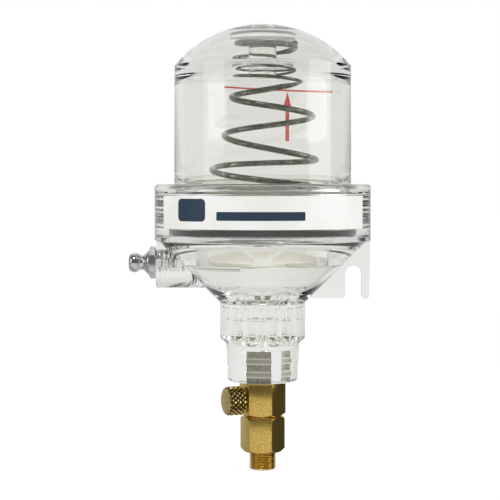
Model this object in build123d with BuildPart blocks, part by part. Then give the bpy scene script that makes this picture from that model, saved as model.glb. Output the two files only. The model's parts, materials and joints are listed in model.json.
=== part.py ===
"""Spring-loaded automatic grease lubricator, in millimetres.

The frame stands on the axis of the reservoir. Z is up, and z = 0 is the shoulder
of the male outlet thread, where the lubricator seats on the machine it feeds.
The grease nipple points along -X and the slotted mounting plate along +X.
"""

from build123d import *
import math
import os

os.makedirs("parts", exist_ok=True)

# ---------------------------------------------------------------- clearances
RUNNING = 0.05          # radial clearance of a piece that slides or turns
THREAD = 0.03           # radial clearance of a plain cylinder that stands for a thread

# ------------------------------------------------------------- outlet adaptor
OUTLET_THREAD_R = 4.864      # G 1/8 major radius
OUTLET_THREAD_LENGTH = 6.5
OUTLET_THREAD_LEAD = 0.7
ADAPTOR_FLATS = 14.2
ADAPTOR_HEIGHT = 13.3
ADAPTOR_BORE_R = 2.2
ADAPTOR_SOCKET_DEPTH = 9.0
HEX_CROWN_ANGLE = 30.0       # angle of a turned hexagon's crown, from its end face
HEX_CROWN_RING = 0.3         # how far the crown's circle lies inside the flats
HEX_TURN = 23.3              # how far the wrench flats are turned about Z

# ----------------------------------------------------------------- valve body
VALVE_FLATS = 14.7
VALVE_HEIGHT = 12.7
VALVE_SPIGOT_LENGTH = 8.5
VALVE_PASSAGE_R = 1.5
INLET_SPIGOT_LENGTH = 8.0

# ------------------------------------------------------------- metering screw
SCREW_HEIGHT = 5.7           # above the valve's foot
SCREW_STEM_R = 2.2
SCREW_NEEDLE_R = 1.1
SCREW_NEEDLE_LENGTH = 3.0
SCREW_TIP_GAP = 1.6          # opening between the needle and the far wall of the passage
KNOB_R = 5.35
KNOB_LENGTH = 6.4
KNOB_EDGE = 0.9              # length of the coned edge at the knob's outer end
KNOB_EDGE_TAPER = 35.0
KNOB_GAP = 1.1               # between knob and wrench flat
KNOB_FLUTES = 20
KNOB_FLUTE_DEPTH = 0.35
ORING_SECTION_R = 0.75
ORING_FROM_FLAT = 3.2        # how far in from the wrench flat the O-ring lies

# ----------------------------------------------------------------- bowl: neck
NECK_FOOT_R = 12.7
NECK_TOP_R = 13.4
NECK_TAPER_HEIGHT = 13.6
NECK_EDGE = 0.8
BODY_R = 15.5                # round body above the neck
BODY_SHOULDER_HEIGHT = 2.0
BODY_HEIGHT = 13.0
CONE_ANGLE = 45.0
COLLAR_STEP = 1.2            # how far the collar stands out from the cone
CONE_WALL = 3.1              # measured level, from the inner to the outer cone

# --------------------------------------------------------------- bowl: collar
COLLAR_WALL = 4.2            # from the dome's thread to the outside
COLLAR_HEIGHT = 20.5
COLLAR_EDGE = 1.6
LEDGE_ABOVE_COLLAR_FOOT = 2.2
DOME_THREAD_LEAD = 0.8
BOWL_BORE_LIP = 0.8          # how far the bowl's bore lies inside the dome's

# --------------------------------------------------------------- bowl: outlet
CHAMBER_R = 8.7
CHAMBER_FLOOR_RISE = 6.8     # above the round body's foot
CHAMBER_TOP_RISE = 4.4       # above the round body's top
CHAMBER_FLUTES = 12
CHAMBER_FLUTE_R = 1.0
CHAMBER_FLUTE_HEIGHT = 4.7
POCKETS = 6
POCKET_R = 2.2
POCKET_RING_R = 6.1
POCKET_DEPTH = 6.8
POCKET_TIP = 1.2
PASSAGE_R = 1.2
INSERT_FLATS = 12.6          # hexagonal metal insert that the neck is moulded round
INSERT_BAND_FLATS = 13.3     # across its two wider bands
INSERT_HEIGHT = 11.5
INSERT_BANDS = (2.2, 6.95)   # heights of the two bands above the insert's foot
INSERT_BAND_HEIGHT = 2.0
INSERT_TURN = 20.0           # how far its flats are turned about Z

# ------------------------------------------------------------ bowl: side boss
BOSS_R = 7.0
BOSS_AXIS_DROP = 10.3        # below the collar's foot
BOSS_SETBACK = 0.6           # from the collar's outside to the boss's end
BOSS_EDGE = 0.6
NIPPLE_AXIS_DROP = 8.1
NIPPLE_SHANK_R = 3.9
NIPPLE_SHANK_LENGTH = 7.5
NIPPLE_HOLE_BEHIND = 3.0     # how much deeper than the shank its tapped hole is
NIPPLE_PORT_R = 1.5

# ------------------------------------------------- bowl: web and slotted plate
PLATE_THICKNESS = 3.0
PLATE_DROP = 20.9            # below the collar's foot
PLATE_PRONG_DROP = 21.3
PLATE_PRONG_DRAFT = 0.4      # how far the plate's outer edge leans in at its foot
SLOT_WIDTH = 5.95
SLOT_FROM_EDGE = 6.2
SLOT_CENTRE_DROP = 12.2
SLOT_CORNER = 0.8

# ----------------------------------------------------------------------- dome
DOME_BORE_R = 28.3           # the cylinder that the piston runs in
DOME_WALL = 3.8
DOME_DRAFT = 0.2             # how much narrower the dome is at its shoulder
DOME_THREAD_STEP = 2.9       # how far the threaded flange stands out from the dome
DOME_FOOT_ABOVE_LEDGE = 2.2
DOME_THREAD_HEIGHT = 14.0
DOME_THREAD_SHOULDER = 1.0
DOME_SHOULDER_HEIGHT = 58.6  # above the dome's foot
DOME_CAP_HEIGHT = 15.1
DOME_CROWN_WALL = 2.8        # thickness at the apex
DOME_CEILING_SPREAD = 4.4    # how much larger the ceiling's sphere is than the bore
DOME_CORNER_R = 13.9         # fillet between the bore and the ceiling's sphere
DOME_SEAT_R = 11.8           # step under the crown that the spring stands against
DOME_SEAT_DEPTH = 8.3        # below the apex
DOME_BOSS_R = 5.0            # plug that keeps the spring's top coil centred
DOME_BOSS_LENGTH = 9.9
DOME_BOSS_EDGE = 0.6

# --------------------------------------------------------------------- gasket
GASKET_SIDE_GAP = 1.0        # between the gasket and the thread bore
GASKET_WIDTH = 3.2

# --------------------------------------------------------------------- piston
PISTON_CLEARANCE = 0.1
PISTON_HEIGHT = 16.2
PISTON_WALL = 2.6
PISTON_CROWN = 3.0
PISTON_EDGE = 0.6
PISTON_RIBS = 6
PISTON_RIB_THICKNESS = 2.0
PISTON_RIB_DEPTH = 8.0
PISTON_HUB_R = 5.0
SEAL_GROOVE_ABOVE_FOOT = 4.0
SEAL_GROOVE_HEIGHT = 3.6
SEAL_GROOVE_DEPTH = 2.6
SEAL_SIDE_GAP = 0.1
SEAL_LIP = 0.7
SPRING_SEAT_GAP = 0.95       # between the seat's rim and the wire round it
SPRING_SEAT_HEIGHT = 1.0

# ---------------------------------------------------------------- main spring
WIRE_R = 0.95
SPRING_TOP_R = 10.5
SPRING_SIDE_GAP = 3.8        # from the lowest coil's centre line to the dome's bore
SPRING_COILS = 3.96
SPRING_DEAD_COILS = 0.9
SPRING_DEAD_PITCH = 1.1
SPRING_TOP_PITCH = 9.2
SPRING_FLARE = 1.7           # power by which the coils widen downwards
SPRING_FOOT_ANGLE = -50.0    # direction of the wire's lower end, seen from above
SPRING_POINTS_PER_COIL = 12

# ---------------------------------------------------------------------- label
LABEL_THICKNESS = 0.15
LABEL_ABOVE_COLLAR_FOOT = 4.9
LABEL_HEIGHT = 11.5
LABEL_HALF_ANGLE = 62.6

# --------------------------------------------------------------------- nipple
NIPPLE_FLATS = 10.2
NIPPLE_HEX_LENGTH = 2.7
NIPPLE_NECK_R = 2.6
NIPPLE_NECK_FROM_HEX = 2.4
NIPPLE_HEAD_R = 3.6
NIPPLE_HEAD_FROM_HEX = 5.2
NIPPLE_MOUTH_R = 2.6
NIPPLE_LENGTH = 7.3          # from the hexagon's outer face to the mouth
NIPPLE_BORE_R = 1.5
NIPPLE_BALL_R = 1.3
NIPPLE_SEAT_R = 1.0
NIPPLE_BORE_DEPTH = 12.0
NIPPLE_SPRING_WIRE_R = 0.15
NIPPLE_SPRING_LENGTH = 6.0
NIPPLE_SPRING_COILS = 6

# --------------------------------------------- radii and levels worked out from those
DOME_R = DOME_BORE_R + DOME_WALL
DOME_SHOULDER_R = DOME_R - DOME_DRAFT
DOME_THREAD_R = DOME_R + DOME_THREAD_STEP
DOME_CEILING_SPHERE_R = DOME_BORE_R + DOME_CEILING_SPREAD
BOWL_BORE_R = DOME_BORE_R - BOWL_BORE_LIP
COLLAR_R = DOME_THREAD_R + COLLAR_WALL
CONE_TOP_R = COLLAR_R - COLLAR_STEP
GASKET_R = DOME_THREAD_R - GASKET_SIDE_GAP
SPRING_BOTTOM_R = DOME_BORE_R - SPRING_SIDE_GAP
SPRING_SEAT_R = SPRING_BOTTOM_R - WIRE_R - SPRING_SEAT_GAP
VALVE_FOOT_Z = ADAPTOR_HEIGHT
NECK_FOOT_Z = VALVE_FOOT_Z + VALVE_HEIGHT
NECK_TOP_Z = NECK_FOOT_Z + NECK_TAPER_HEIGHT
BODY_FOOT_Z = NECK_TOP_Z + BODY_SHOULDER_HEIGHT
BODY_TOP_Z = BODY_FOOT_Z + BODY_HEIGHT
CONE_SLOPE = math.tan(math.radians(CONE_ANGLE))
COLLAR_FOOT_Z = BODY_TOP_Z + (CONE_TOP_R - BODY_R) * CONE_SLOPE
COLLAR_TOP_Z = COLLAR_FOOT_Z + COLLAR_HEIGHT
LEDGE_Z = COLLAR_FOOT_Z + LEDGE_ABOVE_COLLAR_FOOT
DOME_FOOT_Z = LEDGE_Z + DOME_FOOT_ABOVE_LEDGE
DOME_SHOULDER_Z = DOME_FOOT_Z + DOME_SHOULDER_HEIGHT
DOME_APEX_Z = DOME_SHOULDER_Z + DOME_CAP_HEIGHT
CHAMBER_FLOOR = BODY_FOOT_Z + CHAMBER_FLOOR_RISE
CHAMBER_TOP = BODY_TOP_Z + CHAMBER_TOP_RISE
POCKET_FLOOR = CHAMBER_FLOOR - POCKET_DEPTH
BOSS_AXIS_Z = COLLAR_FOOT_Z - BOSS_AXIS_DROP
BOSS_END_X = -(COLLAR_R - BOSS_SETBACK)
NIPPLE_AXIS_Z = COLLAR_FOOT_Z - NIPPLE_AXIS_DROP
PLATE_FOOT_Z = COLLAR_FOOT_Z - PLATE_DROP
PLATE_PRONG_FOOT_Z = COLLAR_FOOT_Z - PLATE_PRONG_DROP
PLATE_EDGE_X = COLLAR_R
PLATE_PRONG_EDGE_X = PLATE_EDGE_X - PLATE_PRONG_DRAFT
SLOT_CENTRE_X = PLATE_EDGE_X - SLOT_FROM_EDGE
SLOT_CENTRE_Z = COLLAR_FOOT_Z - SLOT_CENTRE_DROP
LABEL_FOOT_Z = COLLAR_FOOT_Z + LABEL_ABOVE_COLLAR_FOOT
PISTON_FOOT_Z = LEDGE_Z
PISTON_TOP_Z = PISTON_FOOT_Z + PISTON_HEIGHT
PISTON_R = DOME_BORE_R - PISTON_CLEARANCE
HEX_CORNER_TURN = HEX_TURN + 30.0
INSERT_CORNER_TURN = INSERT_TURN + 30.0
BOWL_CONE_TOP_Z = BODY_TOP_Z + (BOWL_BORE_R + CONE_WALL - BODY_R) * CONE_SLOPE
CHAMBER_MOUTH_R = BODY_R - CONE_WALL + (CHAMBER_TOP - BODY_TOP_Z) / CONE_SLOPE


# ============================================================ outlet adaptor
crown_r = ADAPTOR_FLATS / 2 - HEX_CROWN_RING
crown_reach = ADAPTOR_FLATS / 2 * 2 / math.sqrt(3) + 1 - crown_r
crown_drop = crown_reach * math.tan(math.radians(HEX_CROWN_ANGLE))
with BuildPart() as outlet_adaptor:
    with BuildSketch(Plane.XY):
        RegularPolygon(ADAPTOR_FLATS / 2, 6, major_radius=False, rotation=HEX_CORNER_TURN)
    extrude(amount=ADAPTOR_HEIGHT)
    with BuildSketch(Plane.XZ):
        with BuildLine():
            Polyline(
                (0, 0),
                (crown_r, 0),
                (crown_r + crown_reach, crown_drop),
                (crown_r + crown_reach, ADAPTOR_HEIGHT - crown_drop),
                (crown_r, ADAPTOR_HEIGHT),
                (0, ADAPTOR_HEIGHT),
                close=True,
            )
        make_face()
    revolve(axis=Axis.Z, mode=Mode.INTERSECT)
    with BuildSketch(Plane.XY.offset(-OUTLET_THREAD_LENGTH)):
        Circle(OUTLET_THREAD_R)
    extrude(amount=OUTLET_THREAD_LENGTH)
    thread_end = outlet_adaptor.edges().filter_by(GeomType.CIRCLE).sort_by(Axis.Z)[0]
    chamfer(thread_end, OUTLET_THREAD_LEAD)
    with BuildSketch(Plane.XY.offset(-OUTLET_THREAD_LENGTH)):
        Circle(ADAPTOR_BORE_R)
    extrude(amount=OUTLET_THREAD_LENGTH + ADAPTOR_HEIGHT, mode=Mode.SUBTRACT)
    with BuildSketch(Plane.XY.offset(ADAPTOR_HEIGHT - ADAPTOR_SOCKET_DEPTH)):
        Circle(OUTLET_THREAD_R + THREAD)
    extrude(amount=ADAPTOR_SOCKET_DEPTH, mode=Mode.SUBTRACT)

# =============================================================== valve body
# The metering screw's axis is square to one wrench flat and meets the upright passage.
screw_direction = (
    -math.cos(math.radians(HEX_TURN)),
    -math.sin(math.radians(HEX_TURN)),
    0,
)
screw_z = VALVE_FOOT_Z + SCREW_HEIGHT
flat_distance = VALVE_FLATS / 2
screw_plane = Plane(origin=(0, 0, screw_z), z_dir=screw_direction)


def screw_plane_at(distance):
    """Give the plane square to the metering screw's axis, that far from the passage."""
    return screw_plane.offset(distance)


with BuildPart() as valve_body:
    with BuildSketch(Plane.XY.offset(VALVE_FOOT_Z)):
        RegularPolygon(VALVE_FLATS / 2, 6, major_radius=False, rotation=HEX_CORNER_TURN)
    extrude(amount=VALVE_HEIGHT)
    valve_crown_r = flat_distance - HEX_CROWN_RING
    valve_reach = flat_distance * 2 / math.sqrt(3) + 1 - valve_crown_r
    valve_drop = valve_reach * math.tan(math.radians(HEX_CROWN_ANGLE))
    with BuildSketch(Plane.XZ):
        with BuildLine():
            Polyline(
                (0, VALVE_FOOT_Z),
                (valve_crown_r, VALVE_FOOT_Z),
                (valve_crown_r + valve_reach, VALVE_FOOT_Z + valve_drop),
                (valve_crown_r + valve_reach, NECK_FOOT_Z),
                (0, NECK_FOOT_Z),
                close=True,
            )
        make_face()
    revolve(axis=Axis.Z, mode=Mode.INTERSECT)
    with BuildSketch(Plane.XY.offset(VALVE_FOOT_Z - VALVE_SPIGOT_LENGTH)):
        Circle(OUTLET_THREAD_R)
    extrude(amount=VALVE_SPIGOT_LENGTH)
    with BuildSketch(Plane.XY.offset(NECK_FOOT_Z)):
        Circle(OUTLET_THREAD_R)
    extrude(amount=INLET_SPIGOT_LENGTH)
    with BuildSketch(Plane.XY.offset(VALVE_FOOT_Z - VALVE_SPIGOT_LENGTH)):
        Circle(VALVE_PASSAGE_R)
    extrude(amount=VALVE_SPIGOT_LENGTH + VALVE_HEIGHT + INLET_SPIGOT_LENGTH, mode=Mode.SUBTRACT)
    with BuildSketch(screw_plane):
        Circle(SCREW_STEM_R + RUNNING)
    extrude(amount=flat_distance + 1, mode=Mode.SUBTRACT)

# ============================================================ metering screw
knob_foot = flat_distance + KNOB_GAP
knob_end = knob_foot + KNOB_LENGTH
stem_foot = SCREW_TIP_GAP - VALVE_PASSAGE_R + SCREW_NEEDLE_LENGTH
oring_distance = flat_distance - ORING_FROM_FLAT
oring_groove_r = SCREW_STEM_R - ORING_SECTION_R
with BuildPart() as metering_screw:
    with BuildSketch(screw_plane_at(stem_foot)):
        Circle(SCREW_STEM_R)
    extrude(amount=knob_foot - stem_foot)
    with BuildSketch(screw_plane_at(stem_foot)):
        Circle(SCREW_NEEDLE_R)
    extrude(amount=-SCREW_NEEDLE_LENGTH, taper=12)
    with BuildSketch(screw_plane_at(knob_foot)):
        Circle(KNOB_R)
        with PolarLocations(KNOB_R, KNOB_FLUTES):
            Circle(KNOB_FLUTE_DEPTH, mode=Mode.SUBTRACT)
    extrude(amount=KNOB_LENGTH - KNOB_EDGE)
    with BuildSketch(screw_plane_at(knob_end - KNOB_EDGE)):
        Circle(KNOB_R - KNOB_FLUTE_DEPTH)
    extrude(amount=KNOB_EDGE, taper=KNOB_EDGE_TAPER)
    with BuildSketch(screw_plane_at(oring_distance - ORING_SECTION_R)):
        Circle(SCREW_STEM_R + 1)
        Circle(oring_groove_r, mode=Mode.SUBTRACT)
    extrude(amount=2 * ORING_SECTION_R, mode=Mode.SUBTRACT)

with BuildPart() as metering_oring:
    with BuildSketch(screw_plane_at(oring_distance - ORING_SECTION_R)):
        Circle(SCREW_STEM_R)
        Circle(oring_groove_r + RUNNING, mode=Mode.SUBTRACT)
    extrude(amount=2 * ORING_SECTION_R)

# ====================================================================== bowl
with BuildPart() as bowl:
    # outer form: neck, body, cone and collar
    with BuildSketch(Plane.XZ):
        with BuildLine():
            Polyline(
                (0, NECK_FOOT_Z),
                (NECK_FOOT_R, NECK_FOOT_Z),
                (NECK_TOP_R, NECK_TOP_Z),
                (BODY_R, BODY_FOOT_Z),
                (BODY_R, BODY_TOP_Z),
                (CONE_TOP_R, COLLAR_FOOT_Z),
                (COLLAR_R, COLLAR_FOOT_Z),
                (COLLAR_R, COLLAR_TOP_Z),
                (0, COLLAR_TOP_Z),
                close=True,
            )
        make_face()
    revolve(axis=Axis.Z)
    round_edges = bowl.edges().filter_by(GeomType.CIRCLE)
    fillet(round_edges.sort_by(Axis.Z)[-1], COLLAR_EDGE)
    fillet(round_edges.sort_by(Axis.Z)[0], NECK_EDGE)
    # side boss for the grease nipple
    with BuildSketch(Plane.YZ.offset(BOSS_END_X)):
        with Locations((0, BOSS_AXIS_Z)):
            Circle(BOSS_R)
    extrude(amount=-BOSS_END_X - BODY_R)
    fillet(bowl.edges().filter_by(GeomType.CIRCLE).sort_by(Axis.X)[0], BOSS_EDGE)
    # web over the boss and slotted mounting plate, both in the middle plane
    with BuildSketch(Plane.XZ.offset(-PLATE_THICKNESS / 2)):
        with BuildLine():
            Polyline(
                (BOSS_END_X, BOSS_AXIS_Z),
                (BOSS_END_X, COLLAR_FOOT_Z),
                (0, COLLAR_FOOT_Z),
                (0, BOSS_AXIS_Z),
                close=True,
            )
        make_face()
        with BuildLine():
            Polyline(
                (0, PLATE_FOOT_Z),
                (SLOT_CENTRE_X, PLATE_FOOT_Z),
                (SLOT_CENTRE_X, PLATE_PRONG_FOOT_Z),
                (PLATE_PRONG_EDGE_X, PLATE_PRONG_FOOT_Z),
                (PLATE_EDGE_X, COLLAR_FOOT_Z),
                (0, COLLAR_FOOT_Z),
                close=True,
            )
        make_face()
        with Locations((SLOT_CENTRE_X, SLOT_CENTRE_Z)):
            Circle(SLOT_WIDTH / 2, mode=Mode.SUBTRACT)
        with Locations((SLOT_CENTRE_X, PLATE_PRONG_FOOT_Z)):
            Rectangle(
                SLOT_WIDTH,
                2 * (SLOT_CENTRE_Z - PLATE_PRONG_FOOT_Z),
                mode=Mode.SUBTRACT,
            )
    extrude(amount=PLATE_THICKNESS)
    foot_edges = bowl.edges().filter_by(Axis.Y).filter_by_position(
        Axis.X, SLOT_CENTRE_X - SLOT_WIDTH, PLATE_EDGE_X + 1
    ).filter_by_position(Axis.Z, PLATE_PRONG_FOOT_Z - 1, PLATE_FOOT_Z + 1)
    inner_foot_edge = foot_edges.sort_by(Axis.X)[0]
    fillet(inner_foot_edge, SLOT_CORNER)
    prong_width = PLATE_PRONG_EDGE_X - SLOT_CENTRE_X - SLOT_WIDTH / 2
    prong_edges = bowl.edges().filter_by(Axis.Y).filter_by_position(
        Axis.X, SLOT_CENTRE_X + SLOT_WIDTH / 2 - 0.1, PLATE_EDGE_X + 1
    ).filter_by_position(Axis.Z, PLATE_PRONG_FOOT_Z - 1, PLATE_PRONG_FOOT_Z + 1)
    fillet(prong_edges, prong_width * 0.45)
    # inside: thread bore, ledge, bore, cone and chamber
    with BuildSketch(Plane.XZ):
        with BuildLine():
            Polyline(
                (0, COLLAR_TOP_Z),
                (DOME_THREAD_R + DOME_THREAD_LEAD, COLLAR_TOP_Z),
                (DOME_THREAD_R, COLLAR_TOP_Z - DOME_THREAD_LEAD),
                (DOME_THREAD_R, LEDGE_Z),
                (BOWL_BORE_R, LEDGE_Z),
                (BOWL_BORE_R, BOWL_CONE_TOP_Z),
                (CHAMBER_MOUTH_R, CHAMBER_TOP),
                (CHAMBER_R, CHAMBER_TOP),
                (CHAMBER_R, CHAMBER_FLOOR),
                (0, CHAMBER_FLOOR),
                close=True,
            )
        make_face()
    revolve(axis=Axis.Z, mode=Mode.SUBTRACT)
    # flutes round the chamber's foot
    with BuildSketch(Plane.XY.offset(CHAMBER_FLOOR)):
        with PolarLocations(CHAMBER_R, CHAMBER_FLUTES):
            Circle(CHAMBER_FLUTE_R)
    extrude(amount=CHAMBER_FLUTE_HEIGHT, mode=Mode.SUBTRACT)
    # ring of cored pockets in the chamber's floor, each with a coned end
    with BuildSketch(Plane.XY.offset(POCKET_FLOOR + POCKET_TIP)):
        with PolarLocations(POCKET_RING_R, POCKETS):
            Circle(POCKET_R)
    extrude(amount=CHAMBER_FLOOR - POCKET_FLOOR - POCKET_TIP, mode=Mode.SUBTRACT)
    with PolarLocations(POCKET_RING_R, POCKETS):
        with Locations((0, 0, POCKET_FLOOR + POCKET_TIP / 2)):
            Cone(POCKET_R * 0.4, POCKET_R, POCKET_TIP, mode=Mode.SUBTRACT)
    # passage to the outlet, and the seat of the metal insert
    with BuildSketch(Plane.XY.offset(NECK_FOOT_Z)):
        Circle(PASSAGE_R)
    extrude(amount=CHAMBER_FLOOR - NECK_FOOT_Z, mode=Mode.SUBTRACT)
    with BuildSketch(Plane.XY.offset(NECK_FOOT_Z)):
        RegularPolygon(INSERT_FLATS / 2, 6, major_radius=False, rotation=INSERT_CORNER_TURN)
    extrude(amount=INSERT_HEIGHT, mode=Mode.SUBTRACT)
    for band_height in INSERT_BANDS:
        with BuildSketch(Plane.XY.offset(NECK_FOOT_Z + band_height)):
            RegularPolygon(INSERT_BAND_FLATS / 2, 6, major_radius=False, rotation=INSERT_CORNER_TURN)
        extrude(amount=INSERT_BAND_HEIGHT, mode=Mode.SUBTRACT)
    # nipple thread and the port behind it
    with BuildSketch(Plane.YZ.offset(BOSS_END_X)):
        with Locations((0, NIPPLE_AXIS_Z)):
            Circle(NIPPLE_SHANK_R + THREAD)
    extrude(amount=NIPPLE_SHANK_LENGTH + NIPPLE_HOLE_BEHIND, mode=Mode.SUBTRACT)
    with BuildSketch(Plane.YZ.offset(BOSS_END_X)):
        with Locations((0, NIPPLE_AXIS_Z)):
            Circle(NIPPLE_PORT_R)
    extrude(amount=-BOSS_END_X - CHAMBER_R, mode=Mode.SUBTRACT)

# ============================================================= outlet insert
with BuildPart() as outlet_insert:
    with BuildSketch(Plane.XY.offset(NECK_FOOT_Z)):
        RegularPolygon(INSERT_FLATS / 2, 6, major_radius=False, rotation=INSERT_CORNER_TURN)
    extrude(amount=INSERT_HEIGHT)
    for band_height in INSERT_BANDS:
        with BuildSketch(Plane.XY.offset(NECK_FOOT_Z + band_height)):
            RegularPolygon(INSERT_BAND_FLATS / 2, 6, major_radius=False, rotation=INSERT_CORNER_TURN)
        extrude(amount=INSERT_BAND_HEIGHT)
    with BuildSketch(Plane.XY.offset(NECK_FOOT_Z)):
        Circle(OUTLET_THREAD_R + THREAD)
    extrude(amount=INSERT_HEIGHT, mode=Mode.SUBTRACT)

# ====================================================================== dome
cap_rise = DOME_APEX_Z - DOME_SHOULDER_Z
cap_sphere_r = (DOME_SHOULDER_R**2 + cap_rise**2) / (2 * cap_rise)
cap_angle = math.asin(DOME_SHOULDER_R / cap_sphere_r) / 2
cap_mid = (
    cap_sphere_r * math.sin(cap_angle),
    DOME_APEX_Z - cap_sphere_r * (1 - math.cos(cap_angle)),
)
thread_top_z = DOME_FOOT_Z + DOME_THREAD_HEIGHT
ceiling_z = DOME_APEX_Z - DOME_CROWN_WALL
ceiling_centre_z = ceiling_z - DOME_CEILING_SPHERE_R
corner_x = DOME_BORE_R - DOME_CORNER_R
corner_z = ceiling_centre_z + math.sqrt((DOME_CEILING_SPHERE_R - DOME_CORNER_R) ** 2 - corner_x**2)
corner_tilt = math.atan2(corner_z - ceiling_centre_z, corner_x)


def corner_point(angle):
    """Give a point of the fillet between the dome's bore and its ceiling."""
    return (
        corner_x + DOME_CORNER_R * math.cos(angle),
        corner_z + DOME_CORNER_R * math.sin(angle),
    )


ceiling_mid_angle = (corner_tilt + math.pi / 2) / 2
ceiling_mid = (
    DOME_CEILING_SPHERE_R * math.cos(ceiling_mid_angle),
    ceiling_centre_z + DOME_CEILING_SPHERE_R * math.sin(ceiling_mid_angle),
)
seat_z = DOME_APEX_Z - DOME_SEAT_DEPTH
boss_foot_z = seat_z - DOME_BOSS_LENGTH
with BuildPart() as dome:
    with BuildSketch(Plane.XZ):
        with BuildLine():
            Polyline(
                (0, DOME_FOOT_Z),
                (DOME_THREAD_R - THREAD, DOME_FOOT_Z),
                (DOME_THREAD_R - THREAD, thread_top_z),
                (DOME_R, thread_top_z + DOME_THREAD_SHOULDER),
                (DOME_SHOULDER_R, DOME_SHOULDER_Z),
            )
            ThreePointArc((DOME_SHOULDER_R, DOME_SHOULDER_Z), cap_mid, (0, DOME_APEX_Z))
            Line((0, DOME_APEX_Z), (0, DOME_FOOT_Z))
        make_face()
    revolve(axis=Axis.Z)
    with BuildSketch(Plane.XZ):
        with BuildLine():
            Polyline((0, ceiling_z), (0, DOME_FOOT_Z), (DOME_BORE_R, DOME_FOOT_Z), (DOME_BORE_R, corner_z))
            ThreePointArc((DOME_BORE_R, corner_z), corner_point(corner_tilt / 2), corner_point(corner_tilt))
            ThreePointArc(corner_point(corner_tilt), ceiling_mid, (0, ceiling_z))
        make_face()
    revolve(axis=Axis.Z, mode=Mode.SUBTRACT)
    with BuildSketch(Plane.XY.offset(seat_z)):
        Circle(DOME_SEAT_R)
    extrude(amount=DOME_SEAT_DEPTH - DOME_CROWN_WALL / 2)
    with BuildSketch(Plane.XY.offset(boss_foot_z)):
        Circle(DOME_BOSS_R)
    extrude(amount=DOME_BOSS_LENGTH)
    boss_rim = dome.edges().filter_by(GeomType.CIRCLE).filter_by(
        lambda edge: abs(edge.center().Z - boss_foot_z) < 0.01
    )
    fillet(boss_rim, DOME_BOSS_EDGE)

# =============================================================== dome gasket
with BuildPart() as dome_gasket:
    with BuildSketch(Plane.XY.offset(LEDGE_Z)):
        Circle(GASKET_R)
        Circle(GASKET_R - GASKET_WIDTH, mode=Mode.SUBTRACT)
    extrude(amount=DOME_FOOT_Z - LEDGE_Z)

# ==================================================================== piston
groove_foot_z = PISTON_FOOT_Z + SEAL_GROOVE_ABOVE_FOOT
groove_r = PISTON_R - SEAL_GROOVE_DEPTH
piston_inner_r = groove_r - PISTON_WALL
crown_foot_z = PISTON_TOP_Z - PISTON_CROWN
with BuildPart() as piston:
    with BuildSketch(Plane.XY.offset(PISTON_FOOT_Z)):
        Circle(PISTON_R)
    extrude(amount=PISTON_HEIGHT)
    chamfer(piston.edges().filter_by(GeomType.CIRCLE).sort_by(Axis.Z)[-1], PISTON_EDGE)
    with BuildSketch(Plane.XY.offset(PISTON_TOP_Z)):
        Circle(SPRING_SEAT_R)
    extrude(amount=SPRING_SEAT_HEIGHT, taper=20)
    with BuildSketch(Plane.XY.offset(PISTON_FOOT_Z)):
        Circle(piston_inner_r)
    extrude(amount=PISTON_HEIGHT - PISTON_CROWN, mode=Mode.SUBTRACT)
    with BuildSketch(Plane.XY.offset(groove_foot_z)):
        Circle(PISTON_R + 1)
        Circle(groove_r, mode=Mode.SUBTRACT)
    extrude(amount=SEAL_GROOVE_HEIGHT, mode=Mode.SUBTRACT)
    with BuildSketch(Plane.XY.offset(crown_foot_z - PISTON_RIB_DEPTH)):
        with PolarLocations(piston_inner_r / 2, PISTON_RIBS):
            Rectangle(piston_inner_r + PISTON_WALL / 2, PISTON_RIB_THICKNESS)
        Circle(PISTON_HUB_R)
    extrude(amount=PISTON_RIB_DEPTH)

# =============================================================== piston seal
seal_r = DOME_BORE_R - RUNNING
seal_inner_r = groove_r + SEAL_SIDE_GAP
seal_foot_z = groove_foot_z + SEAL_SIDE_GAP
seal_top_z = groove_foot_z + SEAL_GROOVE_HEIGHT - SEAL_SIDE_GAP
seal_mid_z = (seal_foot_z + seal_top_z) / 2
with BuildPart() as piston_seal:
    with BuildSketch(Plane.XZ):
        with BuildLine():
            Polyline(
                (seal_inner_r, seal_foot_z),
                (seal_r - SEAL_LIP / 2, seal_foot_z),
                (seal_r, seal_foot_z + SEAL_LIP / 2),
                (seal_r, seal_foot_z + SEAL_LIP),
                (seal_r - SEAL_LIP, seal_mid_z),
                (seal_r, seal_top_z - SEAL_LIP),
                (seal_r, seal_top_z - SEAL_LIP / 2),
                (seal_r - SEAL_LIP / 2, seal_top_z),
                (seal_inner_r, seal_top_z),
                close=True,
            )
        make_face()
    revolve(axis=Axis.Z)

# =============================================================== main spring
spring_foot_z = PISTON_TOP_Z + WIRE_R
spring_top_z = seat_z - WIRE_R
live_rise = spring_top_z - spring_foot_z - SPRING_DEAD_COILS * SPRING_DEAD_PITCH
# The pitch grows evenly down the live coils.
pitch_growth = 2 * (live_rise - SPRING_TOP_PITCH * SPRING_COILS) / SPRING_COILS**2


def spring_point(coil):
    """Give the wire's centre at a count of coils down from the top end."""
    coils_left = SPRING_DEAD_COILS + SPRING_COILS - coil
    angle = math.radians(SPRING_FOOT_ANGLE) - 2 * math.pi * coils_left
    live = max(0, coil - SPRING_DEAD_COILS)
    flare = (live / SPRING_COILS) ** SPRING_FLARE
    radius = SPRING_TOP_R + (SPRING_BOTTOM_R - SPRING_TOP_R) * flare
    drop = SPRING_DEAD_PITCH * min(coil, SPRING_DEAD_COILS)
    drop += SPRING_TOP_PITCH * live + pitch_growth * live**2 / 2
    return Vector(radius * math.cos(angle), radius * math.sin(angle), spring_top_z - drop)


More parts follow.
